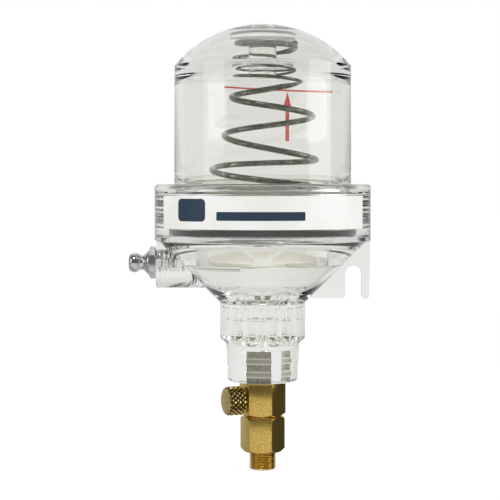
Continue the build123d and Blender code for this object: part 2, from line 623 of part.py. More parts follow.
spring_turns = SPRING_DEAD_COILS + SPRING_COILS
spring_steps = round(spring_turns * SPRING_POINTS_PER_COIL)
wire_points = [spring_point(spring_turns * step / spring_steps) for step in range(spring_steps + 1)]
with BuildPart() as main_spring:
    with BuildLine() as wire_line:
        Spline(*wire_points)
    with BuildSketch(Plane(origin=wire_line.line @ 0, z_dir=wire_line.line % 0)):
        RegularPolygon(WIRE_R, 8)
    sweep(path=wire_line.line, is_frenet=True)

# ===================================================================== label
label_height_mid = LABEL_FOOT_Z + LABEL_HEIGHT / 2
with BuildPart() as label:
    with BuildSketch(Plane.XY.offset(LABEL_FOOT_Z)):
        with BuildLine():
            inner_arc = CenterArc(
                (0, 0), COLLAR_R, -90 - LABEL_HALF_ANGLE, 2 * LABEL_HALF_ANGLE
            )
            outer_arc = CenterArc(
                (0, 0), COLLAR_R + LABEL_THICKNESS, -90 - LABEL_HALF_ANGLE, 2 * LABEL_HALF_ANGLE
            )
            Line(inner_arc @ 0, outer_arc @ 0)
            Line(inner_arc @ 1, outer_arc @ 1)
        make_face()
    extrude(amount=LABEL_HEIGHT)

# ============================================================= grease nipple
# Sections of the nipple are drawn in the XZ plane and turned about its own axis.
nipple_axis = Axis((0, 0, NIPPLE_AXIS_Z), (-1, 0, 0))
hex_face_x = BOSS_END_X - NIPPLE_HEX_LENGTH
mouth_x = hex_face_x - NIPPLE_LENGTH
shank_end_x = BOSS_END_X + NIPPLE_SHANK_LENGTH
ball_x = mouth_x + NIPPLE_BALL_R
bore_end_x = mouth_x + NIPPLE_BORE_DEPTH
with BuildPart() as nipple_body:
    with BuildSketch(Plane.XZ):
        with BuildLine():
            Polyline(
                (mouth_x, NIPPLE_AXIS_Z),
                (shank_end_x, NIPPLE_AXIS_Z),
                (shank_end_x, NIPPLE_AXIS_Z + NIPPLE_SHANK_R),
                (BOSS_END_X, NIPPLE_AXIS_Z + NIPPLE_SHANK_R),
                (BOSS_END_X, NIPPLE_AXIS_Z + NIPPLE_FLATS / 2 - HEX_CROWN_RING),
                (hex_face_x, NIPPLE_AXIS_Z + NIPPLE_FLATS / 2 - HEX_CROWN_RING),
            )
            Spline(
                (hex_face_x, NIPPLE_AXIS_Z + NIPPLE_FLATS / 2 - HEX_CROWN_RING),
                (hex_face_x - NIPPLE_NECK_FROM_HEX, NIPPLE_AXIS_Z + NIPPLE_NECK_R),
                (hex_face_x - NIPPLE_HEAD_FROM_HEX, NIPPLE_AXIS_Z + NIPPLE_HEAD_R),
                (mouth_x, NIPPLE_AXIS_Z + NIPPLE_MOUTH_R),
            )
            Line((mouth_x, NIPPLE_AXIS_Z + NIPPLE_MOUTH_R), (mouth_x, NIPPLE_AXIS_Z))
        make_face()
    revolve(axis=nipple_axis)
    with BuildSketch(Plane.YZ.offset(hex_face_x)):
        with Locations((0, NIPPLE_AXIS_Z)):
            RegularPolygon(NIPPLE_FLATS / 2, 6, major_radius=False, rotation=30)
    extrude(amount=NIPPLE_HEX_LENGTH)
    with BuildSketch(Plane.YZ.offset(ball_x)):
        with Locations((0, NIPPLE_AXIS_Z)):
            Circle(NIPPLE_BORE_R)
    extrude(amount=bore_end_x - ball_x, mode=Mode.SUBTRACT)
    with BuildSketch(Plane.YZ.offset(mouth_x)):
        with Locations((0, NIPPLE_AXIS_Z)):
            Circle(NIPPLE_SEAT_R)
    extrude(amount=shank_end_x - mouth_x, mode=Mode.SUBTRACT)

with BuildPart() as nipple_ball:
    with Locations((ball_x + NIPPLE_BALL_R, 0, NIPPLE_AXIS_Z)):
        Sphere(NIPPLE_BALL_R)

nipple_spring_x = ball_x + 2 * NIPPLE_BALL_R + NIPPLE_SPRING_WIRE_R
nipple_spring_r = NIPPLE_BORE_R - RUNNING - NIPPLE_SPRING_WIRE_R
with BuildPart() as nipple_spring:
    with BuildLine() as nipple_coil:
        Helix(
            pitch=NIPPLE_SPRING_LENGTH / NIPPLE_SPRING_COILS,
            height=NIPPLE_SPRING_LENGTH,
            radius=nipple_spring_r,
            center=(nipple_spring_x, 0, NIPPLE_AXIS_Z),
            direction=(1, 0, 0),
        )
    with BuildSketch(Plane(origin=nipple_coil.line @ 0, z_dir=nipple_coil.line % 0)):
        RegularPolygon(NIPPLE_SPRING_WIRE_R, 6)
    sweep(path=nipple_coil.line, is_frenet=True)

# ==================================================================== export
outlet_adaptor.part.label = "outlet_adaptor"
export_step(outlet_adaptor.part, "parts/outlet_adaptor.step")
valve_body.part.label = "valve_body"
export_step(valve_body.part, "parts/valve_body.step")
metering_screw.part.label = "metering_screw"
export_step(metering_screw.part, "parts/metering_screw.step")
metering_oring.part.label = "metering_oring"
export_step(metering_oring.part, "parts/metering_oring.step")
bowl.part.label = "bowl"
export_step(bowl.part, "parts/bowl.step")
outlet_insert.part.label = "outlet_insert"
export_step(outlet_insert.part, "parts/outlet_insert.step")
dome.part.label = "dome"
export_step(dome.part, "parts/dome.step")
dome_gasket.part.label = "dome_gasket"
export_step(dome_gasket.part, "parts/dome_gasket.step")
piston.part.label = "piston"
export_step(piston.part, "parts/piston.step")
piston_seal.part.label = "piston_seal"
export_step(piston_seal.part, "parts/piston_seal.step")
main_spring.part.label = "main_spring"
export_step(main_spring.part, "parts/main_spring.step")
label.part.label = "label"
export_step(label.part, "parts/label.step")
nipple_body.part.label = "nipple_body"
export_step(nipple_body.part, "parts/nipple_body.step")
nipple_ball.part.label = "nipple_ball"
export_step(nipple_ball.part, "parts/nipple_ball.step")
nipple_spring.part.label = "nipple_spring"
export_step(nipple_spring.part, "parts/nipple_spring.step")
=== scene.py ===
"""Looks of a spring-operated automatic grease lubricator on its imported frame.

Lengths are written in millimetres and turned to metres where a mesh is made.
Z is up, z = 0 is the shoulder of the outlet thread, the grease nipple points
along -X and the slotted mounting plate along +X.
"""

import json
import logging
import math
from dataclasses import dataclass, field
from enum import Enum
from typing import Any, Callable

import bmesh
import bpy
from mathutils import Matrix, Vector

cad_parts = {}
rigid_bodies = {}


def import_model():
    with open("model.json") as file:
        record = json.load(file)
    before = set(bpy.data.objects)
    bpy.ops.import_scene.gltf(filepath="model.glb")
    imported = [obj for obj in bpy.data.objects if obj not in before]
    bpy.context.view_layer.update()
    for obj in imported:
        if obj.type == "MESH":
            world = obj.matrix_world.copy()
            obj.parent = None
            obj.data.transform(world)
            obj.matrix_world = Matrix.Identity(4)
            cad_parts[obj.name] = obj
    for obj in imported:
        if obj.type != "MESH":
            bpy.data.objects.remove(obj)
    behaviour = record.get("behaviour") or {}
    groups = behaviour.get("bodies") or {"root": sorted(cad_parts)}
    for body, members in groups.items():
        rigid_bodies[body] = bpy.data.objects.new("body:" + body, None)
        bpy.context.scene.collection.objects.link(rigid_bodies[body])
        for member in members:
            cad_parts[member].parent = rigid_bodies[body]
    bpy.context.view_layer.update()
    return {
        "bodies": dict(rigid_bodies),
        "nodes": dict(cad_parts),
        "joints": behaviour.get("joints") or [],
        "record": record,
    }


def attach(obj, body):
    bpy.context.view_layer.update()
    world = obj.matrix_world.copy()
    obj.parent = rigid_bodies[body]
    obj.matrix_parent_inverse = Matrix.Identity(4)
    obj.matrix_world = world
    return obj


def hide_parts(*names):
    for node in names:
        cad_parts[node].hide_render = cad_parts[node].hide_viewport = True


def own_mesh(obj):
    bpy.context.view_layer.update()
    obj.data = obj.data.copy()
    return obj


LOG = logging.getLogger("lubricator")
MM = 0.001

WHITE, BLACK = "#ffffff", "#000000"
CLEAR_BOUNCES = 32
OTHER_BOUNCES = 8

Point = tuple[float, float]
Corner = tuple[float, float, float]
Box = tuple[float, float, float, float]
Colour = tuple[float, float, float, float]
Section = list[Point]
Stops = list[tuple[float, str]]
Mesh = bpy.types.Mesh
Piece = bpy.types.Object
Material = bpy.types.Material
Tree = bpy.types.NodeTree
Node = bpy.types.Node
Socket = bpy.types.NodeSocket


class Cut(Enum):
    """How one solid mesh is combined with another."""

    JOIN = "UNION"
    REMOVE = "DIFFERENCE"
    KEEP_COMMON = "INTERSECT"


class Slot(Enum):
    """Material slots of the record."""

    CLEAR = "clear_plastic"
    BRASS = "brass"
    SPRING = "spring_steel"
    ZINC = "zinc_steel"
    LABEL = "label_vinyl"


class Kind(Enum):
    """Kinds of node that the finishes, the recipes and the studio are made of."""

    COORDINATES = "ShaderNodeTexCoord"
    AXES = "ShaderNodeSeparateXYZ"
    JOINED_AXES = "ShaderNodeCombineXYZ"
    NOISE = "ShaderNodeTexNoise"
    RAMP = "ShaderNodeValToRGB"
    RANGE = "ShaderNodeMapRange"
    MATH = "ShaderNodeMath"
    VECTOR = "ShaderNodeVectorMath"
    MIX = "ShaderNodeMix"
    BUMP = "ShaderNodeBump"
    TRANSLUCENT = "ShaderNodeBsdfTranslucent"
    EMISSION = "ShaderNodeEmission"
    BACKGROUND = "ShaderNodeBackground"
    MIX_SHADER = "ShaderNodeMixShader"
    LIGHT_PATH = "ShaderNodeLightPath"
    GROUP_IN = "NodeGroupInput"
    GROUP_OUT = "NodeGroupOutput"
    POSITION = "GeometryNodeInputPosition"
    CYLINDER = "GeometryNodeMeshCylinder"
    MESH_TO_CURVE = "GeometryNodeMeshToCurve"
    CIRCLE = "GeometryNodeCurvePrimitiveCircle"
    CURVE_TO_MESH = "GeometryNodeCurveToMesh"
    SET_POSITION = "GeometryNodeSetPosition"
    REALIZE = "GeometryNodeRealizeInstances"
    SET_MATERIAL = "GeometryNodeSetMaterial"


# ------------------------------------------------------------------ mesh tools
def arc(centre: Point, radius: float, start: float, end: float, steps: int = 12) -> Section:
    """Give points along a circular arc.

    Args:
        centre: Centre of the arc, in millimetres.
        radius: Radius in millimetres.
        start: First direction in degrees.
        end: Last direction in degrees.
        steps: Number of chords.

    Returns:
        The arc's points, both ends included.
    """
    points = []
    for step in range(steps + 1):
        angle = math.radians(start + (end - start) * step / steps)
        points.append((centre[0] + radius * math.cos(angle), centre[1] + radius * math.sin(angle)))
    return points


def softened(corners: list[Corner], steps: int = 4) -> Section:
    """Round the corners of an open line of points.

    Args:
        corners: Points as (radius, height, corner radius), in millimetres.
        steps: Chords in each rounded corner.

    Returns:
        The line with an arc in place of each corner that has a radius.
    """
    line: Section = []
    for index, (x, z, radius) in enumerate(corners):
        if radius <= 0 or index in (0, len(corners) - 1):
            line.append((x, z))
            continue
        here = Vector((x, z))
        before = Vector(corners[index - 1][:2]) - here
        after = Vector(corners[index + 1][:2]) - here
        half = before.angle(after) / 2
        reach = min(radius / math.tan(half), before.length * 0.49, after.length * 0.49)
        first = here + before.normalized() * reach
        last = here + after.normalized() * reach
        for step in range(steps + 1):
            share = step / steps
            point = first * (1 - share) ** 2 + here * 2 * share * (1 - share) + last * share**2
            line.append((point.x, point.y))
    return line


def teeth(
    radii: Point, start: float, pitch: float, count: int, rounding: Point = (0.1, 0.1)
) -> list[Corner]:
    """Give the corners of a thread along a turned section.

    Args:
        radii: Radius where each tooth starts, and half a pitch further on.
        start: Height at which the first tooth starts.
        pitch: Height of a tooth, which is negative where the line runs down.
        count: Number of teeth.
        rounding: Corner radius at each of the two.

    Returns:
        Corners for a softened line.
    """
    corners: list[Corner] = []
    for tooth in range(count):
        height = start + tooth * pitch
        corners += [(radii[0], height, rounding[0]), (radii[1], height + pitch / 2, rounding[1])]
    return corners


def sideways(height: float) -> Matrix:
    """Give the matrix that lays an upright piece along -X at a height in millimetres."""
    return Matrix.Translation((0, 0, height)) @ Matrix.Rotation(-math.pi / 2, 4, "Y")


def rod(radius: float, foot: float, top: float) -> Section:
    """Give the section of a plain round rod, to be turned."""
    return [(0, foot), (radius, foot), (radius, top), (0, top)]


def polar(radius: float, degrees: float) -> Point:
    """Give the point at a radius and an angle in degrees."""
    angle = math.radians(degrees)
    return radius * math.cos(angle), radius * math.sin(angle)


def new_object(name: str, data: Any) -> Piece:
    """Link a mesh, lamp or camera to the scene as an object at the origin.

    Args:
        name: Name of the object.
        data: The mesh, lamp or camera.

    Returns:
        The new object.
    """
    piece = bpy.data.objects.new(name, data)
    bpy.context.scene.collection.objects.link(piece)
    return piece


def shade(mesh: Mesh, sharp_angle: float = 28.0) -> None:
    """Shade a mesh smooth, with an edge wherever it turns by more than an angle.

    Args:
        mesh: The mesh.
        sharp_angle: Angle in degrees from which an edge is sharp.
    """
    mesh.polygons.foreach_set("use_smooth", [True] * len(mesh.polygons))
    mesh.set_sharp_from_angle(angle=math.radians(sharp_angle))
    mesh.update()


def turned(
    name: str,
    section: Section,
    segments: int = 192,
    place: Matrix | None = None,
    sharp_angle: float = 28.0,
) -> Piece:
    """Turn a closed section about Z into a solid.

    Args:
        name: Name of the object.
        section: Closed section as (radius, height) points in millimetres.
        segments: Number of steps round the axis.
        place: Where the turned solid goes, in millimetres, if not upright at the origin.
        sharp_angle: Angle from which an edge is shaded sharp.

    Returns:
        The new object.
    """
    verts: list[Vector] = []
    rings: list[list[int]] = []
    for radius, height in section:
        if radius < 1e-6:
            rings.append([len(verts)])
            verts.append(Vector((0, 0, height)))
            continue
        rings.append(list(range(len(verts), len(verts) + segments)))
        for step in range(segments):
            angle = 2 * math.pi * step / segments
            verts.append(Vector((radius * math.cos(angle), radius * math.sin(angle), height)))
    faces: list[tuple[int, ...]] = []
    for index, ring in enumerate(rings):
        other = rings[(index + 1) % len(rings)]
        if len(ring) == 1 and len(other) == 1:
            continue
        for step in range(segments):
            after = (step + 1) % segments
            if len(ring) == 1:
                faces.append((ring[0], other[after], other[step]))
            elif len(other) == 1:
                faces.append((ring[step], ring[after], other[0]))
            else:
                faces.append((ring[step], ring[after], other[after], other[step]))
    matrix = place or Matrix.Identity(4)
    mesh = bpy.data.meshes.new(name)
    mesh.from_pydata([(matrix @ vert) * MM for vert in verts], [], faces)
    clean(mesh)
    shade(mesh, sharp_angle)
    return new_object(name, mesh)


def clean(mesh: Mesh) -> None:
    """Merge a mesh's doubles and turn its faces outwards.

    Args:
        mesh: The mesh.
    """
    work = bmesh.new()
    work.from_mesh(mesh)
    bmesh.ops.remove_doubles(work, verts=work.verts, dist=1e-7)
    bmesh.ops.recalc_face_normals(work, faces=work.faces)
    work.to_mesh(mesh)
    work.free()
    mesh.update()


def prism(name: str, outline: Section, depth: float, place: Matrix) -> Piece:
    """Raise a flat outline into a solid.

    Args:
        name: Name of the object.
        outline: Closed outline in millimetres.
        depth: Thickness in millimetres, along the outline's normal.
        place: Where the outline's plane lies.

    Returns:
        The new object.
    """
    count = len(outline)
    low = [place @ Vector((x, y, 0)) * MM for x, y in outline]
    high = [place @ Vector((x, y, depth)) * MM for x, y in outline]
    faces = [tuple(range(count)), tuple(range(2 * count - 1, count - 1, -1))]
    for step in range(count):
        after = (step + 1) % count
        faces.append((step, after, count + after, count + step))
    mesh = bpy.data.meshes.new(name)
    mesh.from_pydata(low + high, [], faces)
    clean(mesh)
    shade(mesh)
    return new_object(name, mesh)


def hexagon(flats: float, turn: float) -> Section:
    """Give a hexagon by its size across flats, turned so that a flat faces that angle."""
    return [polar(flats / math.sqrt(3), turn + 30 + 60 * side) for side in range(6)]


def combine(base: Piece, tool: Piece, cut: Cut) -> None:
    """Combine one solid with another, and delete the second.

    Args:
        base: The object that keeps the result.
        tool: The object that is joined, removed or intersected.
        cut: How the two are combined.
    """
    modifier = base.modifiers.new("combine", "BOOLEAN")
    modifier.object = tool
    modifier.operation = cut.value
    modifier.solver = "EXACT"
    bake(base)
    discard(tool)


def discard(piece: Piece) -> None:
    """Delete an object and its mesh.

    Args:
        piece: The object.
    """
    spent = piece.data
    bpy.data.objects.remove(piece)
    bpy.data.meshes.remove(spent)


def bake(piece: Piece) -> None:
    """Turn an object's modifiers into its plain mesh.

    Args:
        piece: The object.
    """
    bpy.context.view_layer.update()
    graph = bpy.context.evaluated_depsgraph_get()
    mesh = bpy.data.meshes.new_from_object(piece.evaluated_get(graph))
    spent = piece.data
    piece.modifiers.clear()
    piece.data = mesh
    mesh.name = piece.name
    bpy.data.meshes.remove(spent)


def break_edges(piece: Piece, width: float, steps: int = 2) -> None:
    """Round a solid's sharp edges by a width in millimetres, as handling does.

    Args:
        piece: The solid.
        width: Width of the rounding in millimetres.
        steps: Faces across it.
    """
    modifier = piece.modifiers.new("edges", "BEVEL")
    modifier.width = width * MM
    modifier.segments = steps
    modifier.limit_method = "ANGLE"
    modifier.angle_limit = math.radians(22)
    bake(piece)
    shade(piece.data, 40)


def gather(piece: Piece, others: list[Piece]) -> None:
    """Put other objects' meshes into one object, with the materials they have.

    Args:
        piece: The object that they go into.
        others: The objects, which are deleted.
    """
    work = bmesh.new()
    work.from_mesh(piece.data)
    for other in others:
        start = len(piece.data.materials)
        for material in other.data.materials:
            piece.data.materials.append(material)
        count = len(work.faces)
        work.from_mesh(other.data)
        work.faces.ensure_lookup_table()
        for face in work.faces[count:]:
            face.material_index += start
        discard(other)
    work.to_mesh(piece.data)
    work.free()
    piece.data.update()


def dress(piece: Piece, material: Material) -> None:
    """Give a whole piece one material."""
    piece.data.materials.clear()
    piece.data.materials.append(material)


# ------------------------------------------------------------------ node tools
def linear(colour: str) -> Colour:
    """Turn an sRGB hex colour into a linear one.

    Args:
        colour: Colour such as "#a8893f".

    Returns:
        Linear red, green, blue and full opacity.
    """
    parts = [int(colour[k : k + 2], 16) / 255 for k in (1, 3, 5)]
    made = [c / 12.92 if c <= 0.04045 else ((c + 0.055) / 1.055) ** 2.4 for c in parts]
    return (made[0], made[1], made[2], 1.0)


def per_metre(size: float) -> float:
    """Give how many times a size in millimetres goes into a metre, as a pattern's scale."""
    return 1 / (size * MM)


def pulse(rise: float, on: float, off: float, fall: float) -> Stops:
    """Give the stops of a ramp that is white from one place to another and black around it."""
    return [(rise, BLACK), (on, WHITE), (off, WHITE), (fall, BLACK)]


def feed(tree: Tree, node: Node, inputs: dict[str | int, Any]) -> None:
    """Set or link some inputs of a node.

    Args:
        tree: The node tree that it is in.
        node: The node.
        inputs: What goes in, by the input's name or number: a value, a socket,
            or a node, which stands for its first output in use.
    """
    for key, value in inputs.items():
        if isinstance(value, bpy.types.Node):
            value = next(output for output in value.outputs if output.enabled)
        if isinstance(value, bpy.types.NodeSocket):
            tree.links.new(value, node.inputs[key])
        else:
            node.inputs[key].default_value = value


def add_node(
    tree: Tree,
    kind: Kind,
    settings: dict[str, Any] | None = None,
    inputs: dict[str | int, Any] | None = None,
) -> Node:
    """Add a node with its settings and links.

    Args:
        tree: The node tree that it goes into.
        kind: The kind of node.
        settings: Properties of the node, or "stops" for a colour ramp's
            positions and sRGB hex colours.
        inputs: Values, sockets or nodes for its inputs, by name or number.

    Returns:
        The new node.
    """
    node = tree.nodes.new(kind.value)
    for key, value in (settings or {}).items():
        if key != "stops":
            setattr(node, key, value)
            continue
        marks = node.color_ramp.elements
        while len(marks) < len(value):
            marks.new(0.5)
        for mark, (position, colour) in zip(marks, value):
            mark.position = position
            mark.color = linear(colour)
    feed(tree, node, inputs or {})
    return node


def start_material(name: str, sockets: dict[str, Any]) -> tuple[Material, Tree, Node, Socket]:
    """Start a material with its shader and object coordinates.

    Args:
        name: Name of the material.
        sockets: Values for the shader's own sockets.

    Returns:
        The material, its tree, its shader and the socket with object coordinates.
    """
    material = bpy.data.materials.new(name)
    material.use_nodes = True
    tree = material.node_tree
    shader = tree.nodes["Principled BSDF"]
    feed(tree, shader, sockets)
    return material, tree, shader, add_node(tree, Kind.COORDINATES).outputs["Object"]


# -------------------------------------------------------------------- finishes
@dataclass(frozen=True)
class ClearPolycarbonate:
    """Polycarbonate, injection-moulded in a polished tool.

    It is water-clear, bends what lies behind it strongly and has very slow
    ripples where the melt cooled, so that straight edges seen through it waver.
    """

    tint: str = "#fafaf7"
    ior: float = 1.585
    ripple_mm: float = 14.0
    ripple_depth_mm: float = 0.012
    scuff_mm: float = 5.0
    scuff_roughness: float = 0.03

    def material(self) -> Material:
        """Build the material.

        Returns:
            The material.
        """
        material, tree, shader, place = start_material(
            "clear_polycarbonate_moulded",
            {"Base Color": linear(self.tint), "Transmission Weight": 1.0, "IOR": self.ior, "Roughness": 0.0},
        )
        ripple = add_node(
            tree,
            Kind.NOISE,
            None,
            {"Vector": place, "Scale": per_metre(self.ripple_mm), "Detail": 1.0, "Roughness": 0.4},
        )
        bump = add_node(
            tree, Kind.BUMP, None, {"Height": ripple, "Strength": 1.0, "Distance": self.ripple_depth_mm * MM}
        )
        scuff = add_node(
            tree,
            Kind.NOISE,
            None,
            {"Vector": place, "Scale": per_metre(self.scuff_mm), "Detail": 4.0, "Roughness": 0.6},
        )
        haze = add_node(
            tree,
            Kind.RANGE,
            None,
            {"Value": scuff, "From Min": 0.58, "From Max": 0.8, "To Min": 0.0, "To Max": self.scuff_roughness},
        )
        feed(tree, shader, {"Normal": bump, "Roughness": haze})
        return material


@dataclass(frozen=True)
class TurnedBrass:
    """Free-cutting brass, turned from bar and tumbled.

    It is a warm mid gold with a grainy, mottled sheen: tumbling left small
    dents that catch the light, and handling has browned the hollows.
    """

    name: str = "brass_turned_and_tumbled"
    dark: str = "#bd9f50"
    middle: str = "#dab862"
    light: str = "#eace76"
    grain_mm: float = 0.6
    dent_mm: float = 0.32
    dent_depth_mm: float = 0.008
    roughness: float = 0.19

    def material(self) -> Material:
        """Build the material.

        Returns:
            The material.
        """
        material, tree, shader, place = start_material(self.name, {"Metallic": 1.0})
        grain = add_node(
            tree,
            Kind.NOISE,
            None,
            {"Vector": place, "Scale": per_metre(self.grain_mm), "Detail": 4.0, "Roughness": 0.65},
        )
        stops = [(0.3, self.dark), (0.5, self.middle), (0.72, self.light)]
        colour = add_node(tree, Kind.RAMP, {"stops": stops}, {0: grain})
        dull, bright = self.roughness + 0.1, self.roughness - 0.08
        rough = add_node(
            tree, Kind.RANGE, None, {"Value": grain, "From Min": 0.3, "From Max": 0.7, "To Min": dull, "To Max": bright}
        )
        dents = add_node(tree, Kind.NOISE, None, {"Vector": place, "Scale": per_metre(self.dent_mm), "Detail": 2.0})
        bump = add_node(
            tree, Kind.BUMP, None, {"Height": dents, "Strength": 0.9, "Distance": self.dent_depth_mm * MM}
        )
        feed(tree, shader, {"Base Color": colour, "Roughness": rough, "Normal": bump})
        return material


@dataclass(frozen=True)
class KnurledBrass(TurnedBrass):
    """The same brass where it is knurled.

    The grooves carry painted shade, darker towards their roots, and what lies
    nearer the axis is darkened by a fixed part of the same colour. The brass
    is painted lighter than on the hexagons, a painted highlight on the tips.
    """

    name: str = "brass_knurled_and_handled"
    # Colour of the painted shade in the grooves.
    groove_shade: str = "#1b1206"
    height: float = 19.0
    turn: float = 23.3
    crest: float = 5.35
    root: float = 4.8
    margin: float = 0.12
    face_share: float = 0.68
    # Lighter than the turned brass: a painted highlight on the knurl's tips.
    light: str = "#fbe8a0"
    middle: str = "#f3da88"
    dent_depth_mm: float = 0.003
    roughness: float = 0.15

    def material(self) -> Material:
        """Build the material, with painted shade in its grooves by the distance from the knob's axis.

        Returns:
            The material.
        """
        material = super().material()
        tree = material.node_tree
        shader = tree.nodes["Principled BSDF"]
        unshaded_brass = shader.inputs["Base Color"].links[0].from_socket
        turn = math.radians(self.turn)
        axis = (-math.cos(turn), -math.sin(turn), 0.0)
        place = add_node(tree, Kind.COORDINATES).outputs["Object"]
        away = add_node(tree, Kind.VECTOR, {"operation": "SUBTRACT"}, {0: place, 1: (0.0, 0.0, self.height * MM)})
        across = add_node(tree, Kind.VECTOR, {"operation": "CROSS_PRODUCT"}, {0: away, 1: axis})
        reach = add_node(tree, Kind.VECTOR, {"operation": "LENGTH"}, {0: across})
        # Painted shade: the brass darkens from each groove's crest to its root, and what lies nearer the axis than the
        # roots takes a fixed part of the dark colour.
        unshaded_share = add_node(
            tree,
            Kind.RANGE,
            None,
            {"Value": reach, "From Min": self.root * MM, "From Max": (self.crest - self.margin) * MM},
        )
        inside = add_node(
            tree, Kind.MATH, {"operation": "LESS_THAN"}, {0: reach, 1: (self.root - self.margin) * MM}
        )
        face = add_node(tree, Kind.MATH, {"operation": "MULTIPLY"}, {0: inside, 1: self.face_share})
        share = add_node(tree, Kind.MATH, {"operation": "MAXIMUM"}, {0: unshaded_share, 1: face})
        mixed = add_node(
            tree, Kind.MIX, {"data_type": "RGBA"}, {"Factor": share, "A": linear(self.groove_shade), "B": unshaded_brass}
        )
        feed(tree, shader, {"Base Color": mixed})
        return material


@dataclass(frozen=True)
class PlatedSteel:
    """Carbon steel, turned and bright zinc plated.

    It is a cool silver with a faint blue-green cast and a mirror-like sheen
    that plating has softened a little.
    """

    light: str = "#e9ecea"
    dark: str = "#c3c8c6"
    cloud_mm: float = 2.2
    roughness: float = 0.08

    def material(self) -> Material:
        """Build the material.

        Returns:
            The material.
        """
        material, tree, shader, place = start_material("steel_bright_zinc_plated", {"Metallic": 1.0})
        cloud = add_node(tree, Kind.NOISE, None, {"Vector": place, "Scale": per_metre(self.cloud_mm), "Detail": 3.0})
        colour = add_node(tree, Kind.RAMP, {"stops": [(0.3, self.dark), (0.65, self.light)]}, {0: cloud})
        dull, bright = self.roughness + 0.06, self.roughness - 0.04
        rough = add_node(tree, Kind.RANGE, None, {"Value": cloud, "To Min": dull, "To Max": bright})
        feed(tree, shader, {"Base Color": colour, "Roughness": rough})
        return material


@dataclass(frozen=True)
class SpringWire:
    """Patented carbon spring wire, hard drawn and lightly oiled.

    It is a dark olive grey with bright streaks, because drawing leaves fine
    scratches and the oil darkens what lies between them. The streaks are drawn
    coarser than they are, so that they show.
    """

    dark: str = "#3f4238"
    middle: str = "#696c5f"
    light: str = "#aeafa0"
    mottle_mm: float = 2.4
    roughness: float = 0.15

    def material(self) -> Material:
        """Build the material.

        Returns:
            The material.
        """
        material, tree, shader, place = start_material("spring_wire_oiled", {"Metallic": 1.0})
        mottle = add_node(
            tree,
            Kind.NOISE,
            None,
            {"Vector": place, "Scale": per_metre(self.mottle_mm), "Detail": 5.0, "Roughness": 0.7},
        )
        stops = [(0.32, self.dark), (0.52, self.middle), (0.7, self.light)]
        colour = add_node(tree, Kind.RAMP, {"stops": stops}, {0: mottle})
        dull, bright = self.roughness + 0.12, self.roughness - 0.1
        rough = add_node(tree, Kind.RANGE, None, {"Value": mottle, "To Min": dull, "To Max": bright})
        feed(tree, shader, {"Base Color": colour, "Roughness": rough})
        return material


@dataclass(frozen=True)
class KnurledInsert:
    """Machined zinc alloy with a fine straight knurl, moulded into the neck.

    The knurl reads as a dark speckle of fine upright teeth, and the bands
    between are a smoother warm grey with a painted highlight line at each edge.
    """

    dark: str = "#44433a"
    light: str = "#c9c5b1"
    band: str = "#aeab9c"
    # Colour of the painted highlight along each edge of the bands.
    line: str = "#e2e1d8"
    tooth_mm: float = 0.3
    tooth_depth_mm: float = 0.05
    roughness: float = 0.38
    foot: float = 26.0
    height: float = 11.5
    bands: tuple[float, float] = (2.2, 6.95)
    band_height: float = 2.0

    def material(self) -> Material:
        """Build the material, with its bands and their painted edge highlights by the height in the insert.

        Returns:
            The material.
        """
        material, tree, shader, place = start_material(
            "zinc_alloy_knurled", {"Metallic": 0.85, "Roughness": self.roughness}
        )
        speckle = add_node(
            tree,
            Kind.NOISE,
            None,
            {"Vector": place, "Scale": per_metre(self.tooth_mm), "Detail": 3.0, "Roughness": 0.7},
        )
        colour = add_node(tree, Kind.RAMP, {"stops": [(0.42, self.dark), (0.58, self.light)]}, {0: speckle})
        bump = add_node(
            tree, Kind.BUMP, None, {"Height": speckle, "Strength": 0.8, "Distance": self.tooth_depth_mm * MM}
        )
        height = add_node(tree, Kind.AXES, None, {0: place}).outputs["Z"]
        top = self.foot + self.height
        level = add_node(
            tree, Kind.RANGE, None, {"Value": height, "From Min": self.foot * MM, "From Max": top * MM}
        )
        smooth: Stops = []
        painted_edge_highlight: Stops = []
        for low in self.bands:
            start, end = low / self.height, (low + self.band_height) / self.height
            smooth += pulse(start - 0.004, start, end, end + 0.004)
            # Painted highlight: a bright line at the bottom and top edge of each band.
            painted_edge_highlight += pulse(start - 0.03, start - 0.012, start + 0.015, start + 0.045)
            painted_edge_highlight += pulse(end - 0.045, end - 0.015, end + 0.012, end + 0.03)
        for stops, over in ((smooth, self.band), (painted_edge_highlight, self.line)):
            share = add_node(tree, Kind.RAMP, {"stops": stops}, {0: level})
            colour = add_node(
                tree, Kind.MIX, {"data_type": "RGBA"}, {"Factor": share, "A": colour, "B": linear(over)}
            )
        feed(tree, shader, {"Base Color": colour, "Normal": bump})
        return material


@dataclass(frozen=True)
class NaturalPolypropylene:
    """Polypropylene, moulded without pigment.

    It is translucent like thin milk glass: light comes through it and is
    softened, so that it looks pale from below as well as from above.
    """

    light: str = "#fbfaf6"
    shade: str = "#f4f2ea"
    ior: float = 1.49
    cloud_mm: float = 9.0
    depth_mm: float = 5.0
    roughness: float = 0.4

    def material(self) -> Material:
        """Build the material.

        Returns:
            The material.
        """
        material, tree, shader, place = start_material(
            "polypropylene_natural_moulded",
            {
                "Roughness": self.roughness,
                "IOR": self.ior,
                "Subsurface Weight": 1.0,
                "Subsurface Radius": (1.0, 0.97, 0.9),
                "Subsurface Scale": self.depth_mm * MM,
            },
        )
        cloud = add_node(tree, Kind.NOISE, None, {"Vector": place, "Scale": per_metre(self.cloud_mm), "Detail": 3.0})
        colour = add_node(tree, Kind.RAMP, {"stops": [(0.35, self.shade), (0.65, self.light)]}, {0: cloud})
        feed(tree, shader, {"Base Color": colour})
        return material


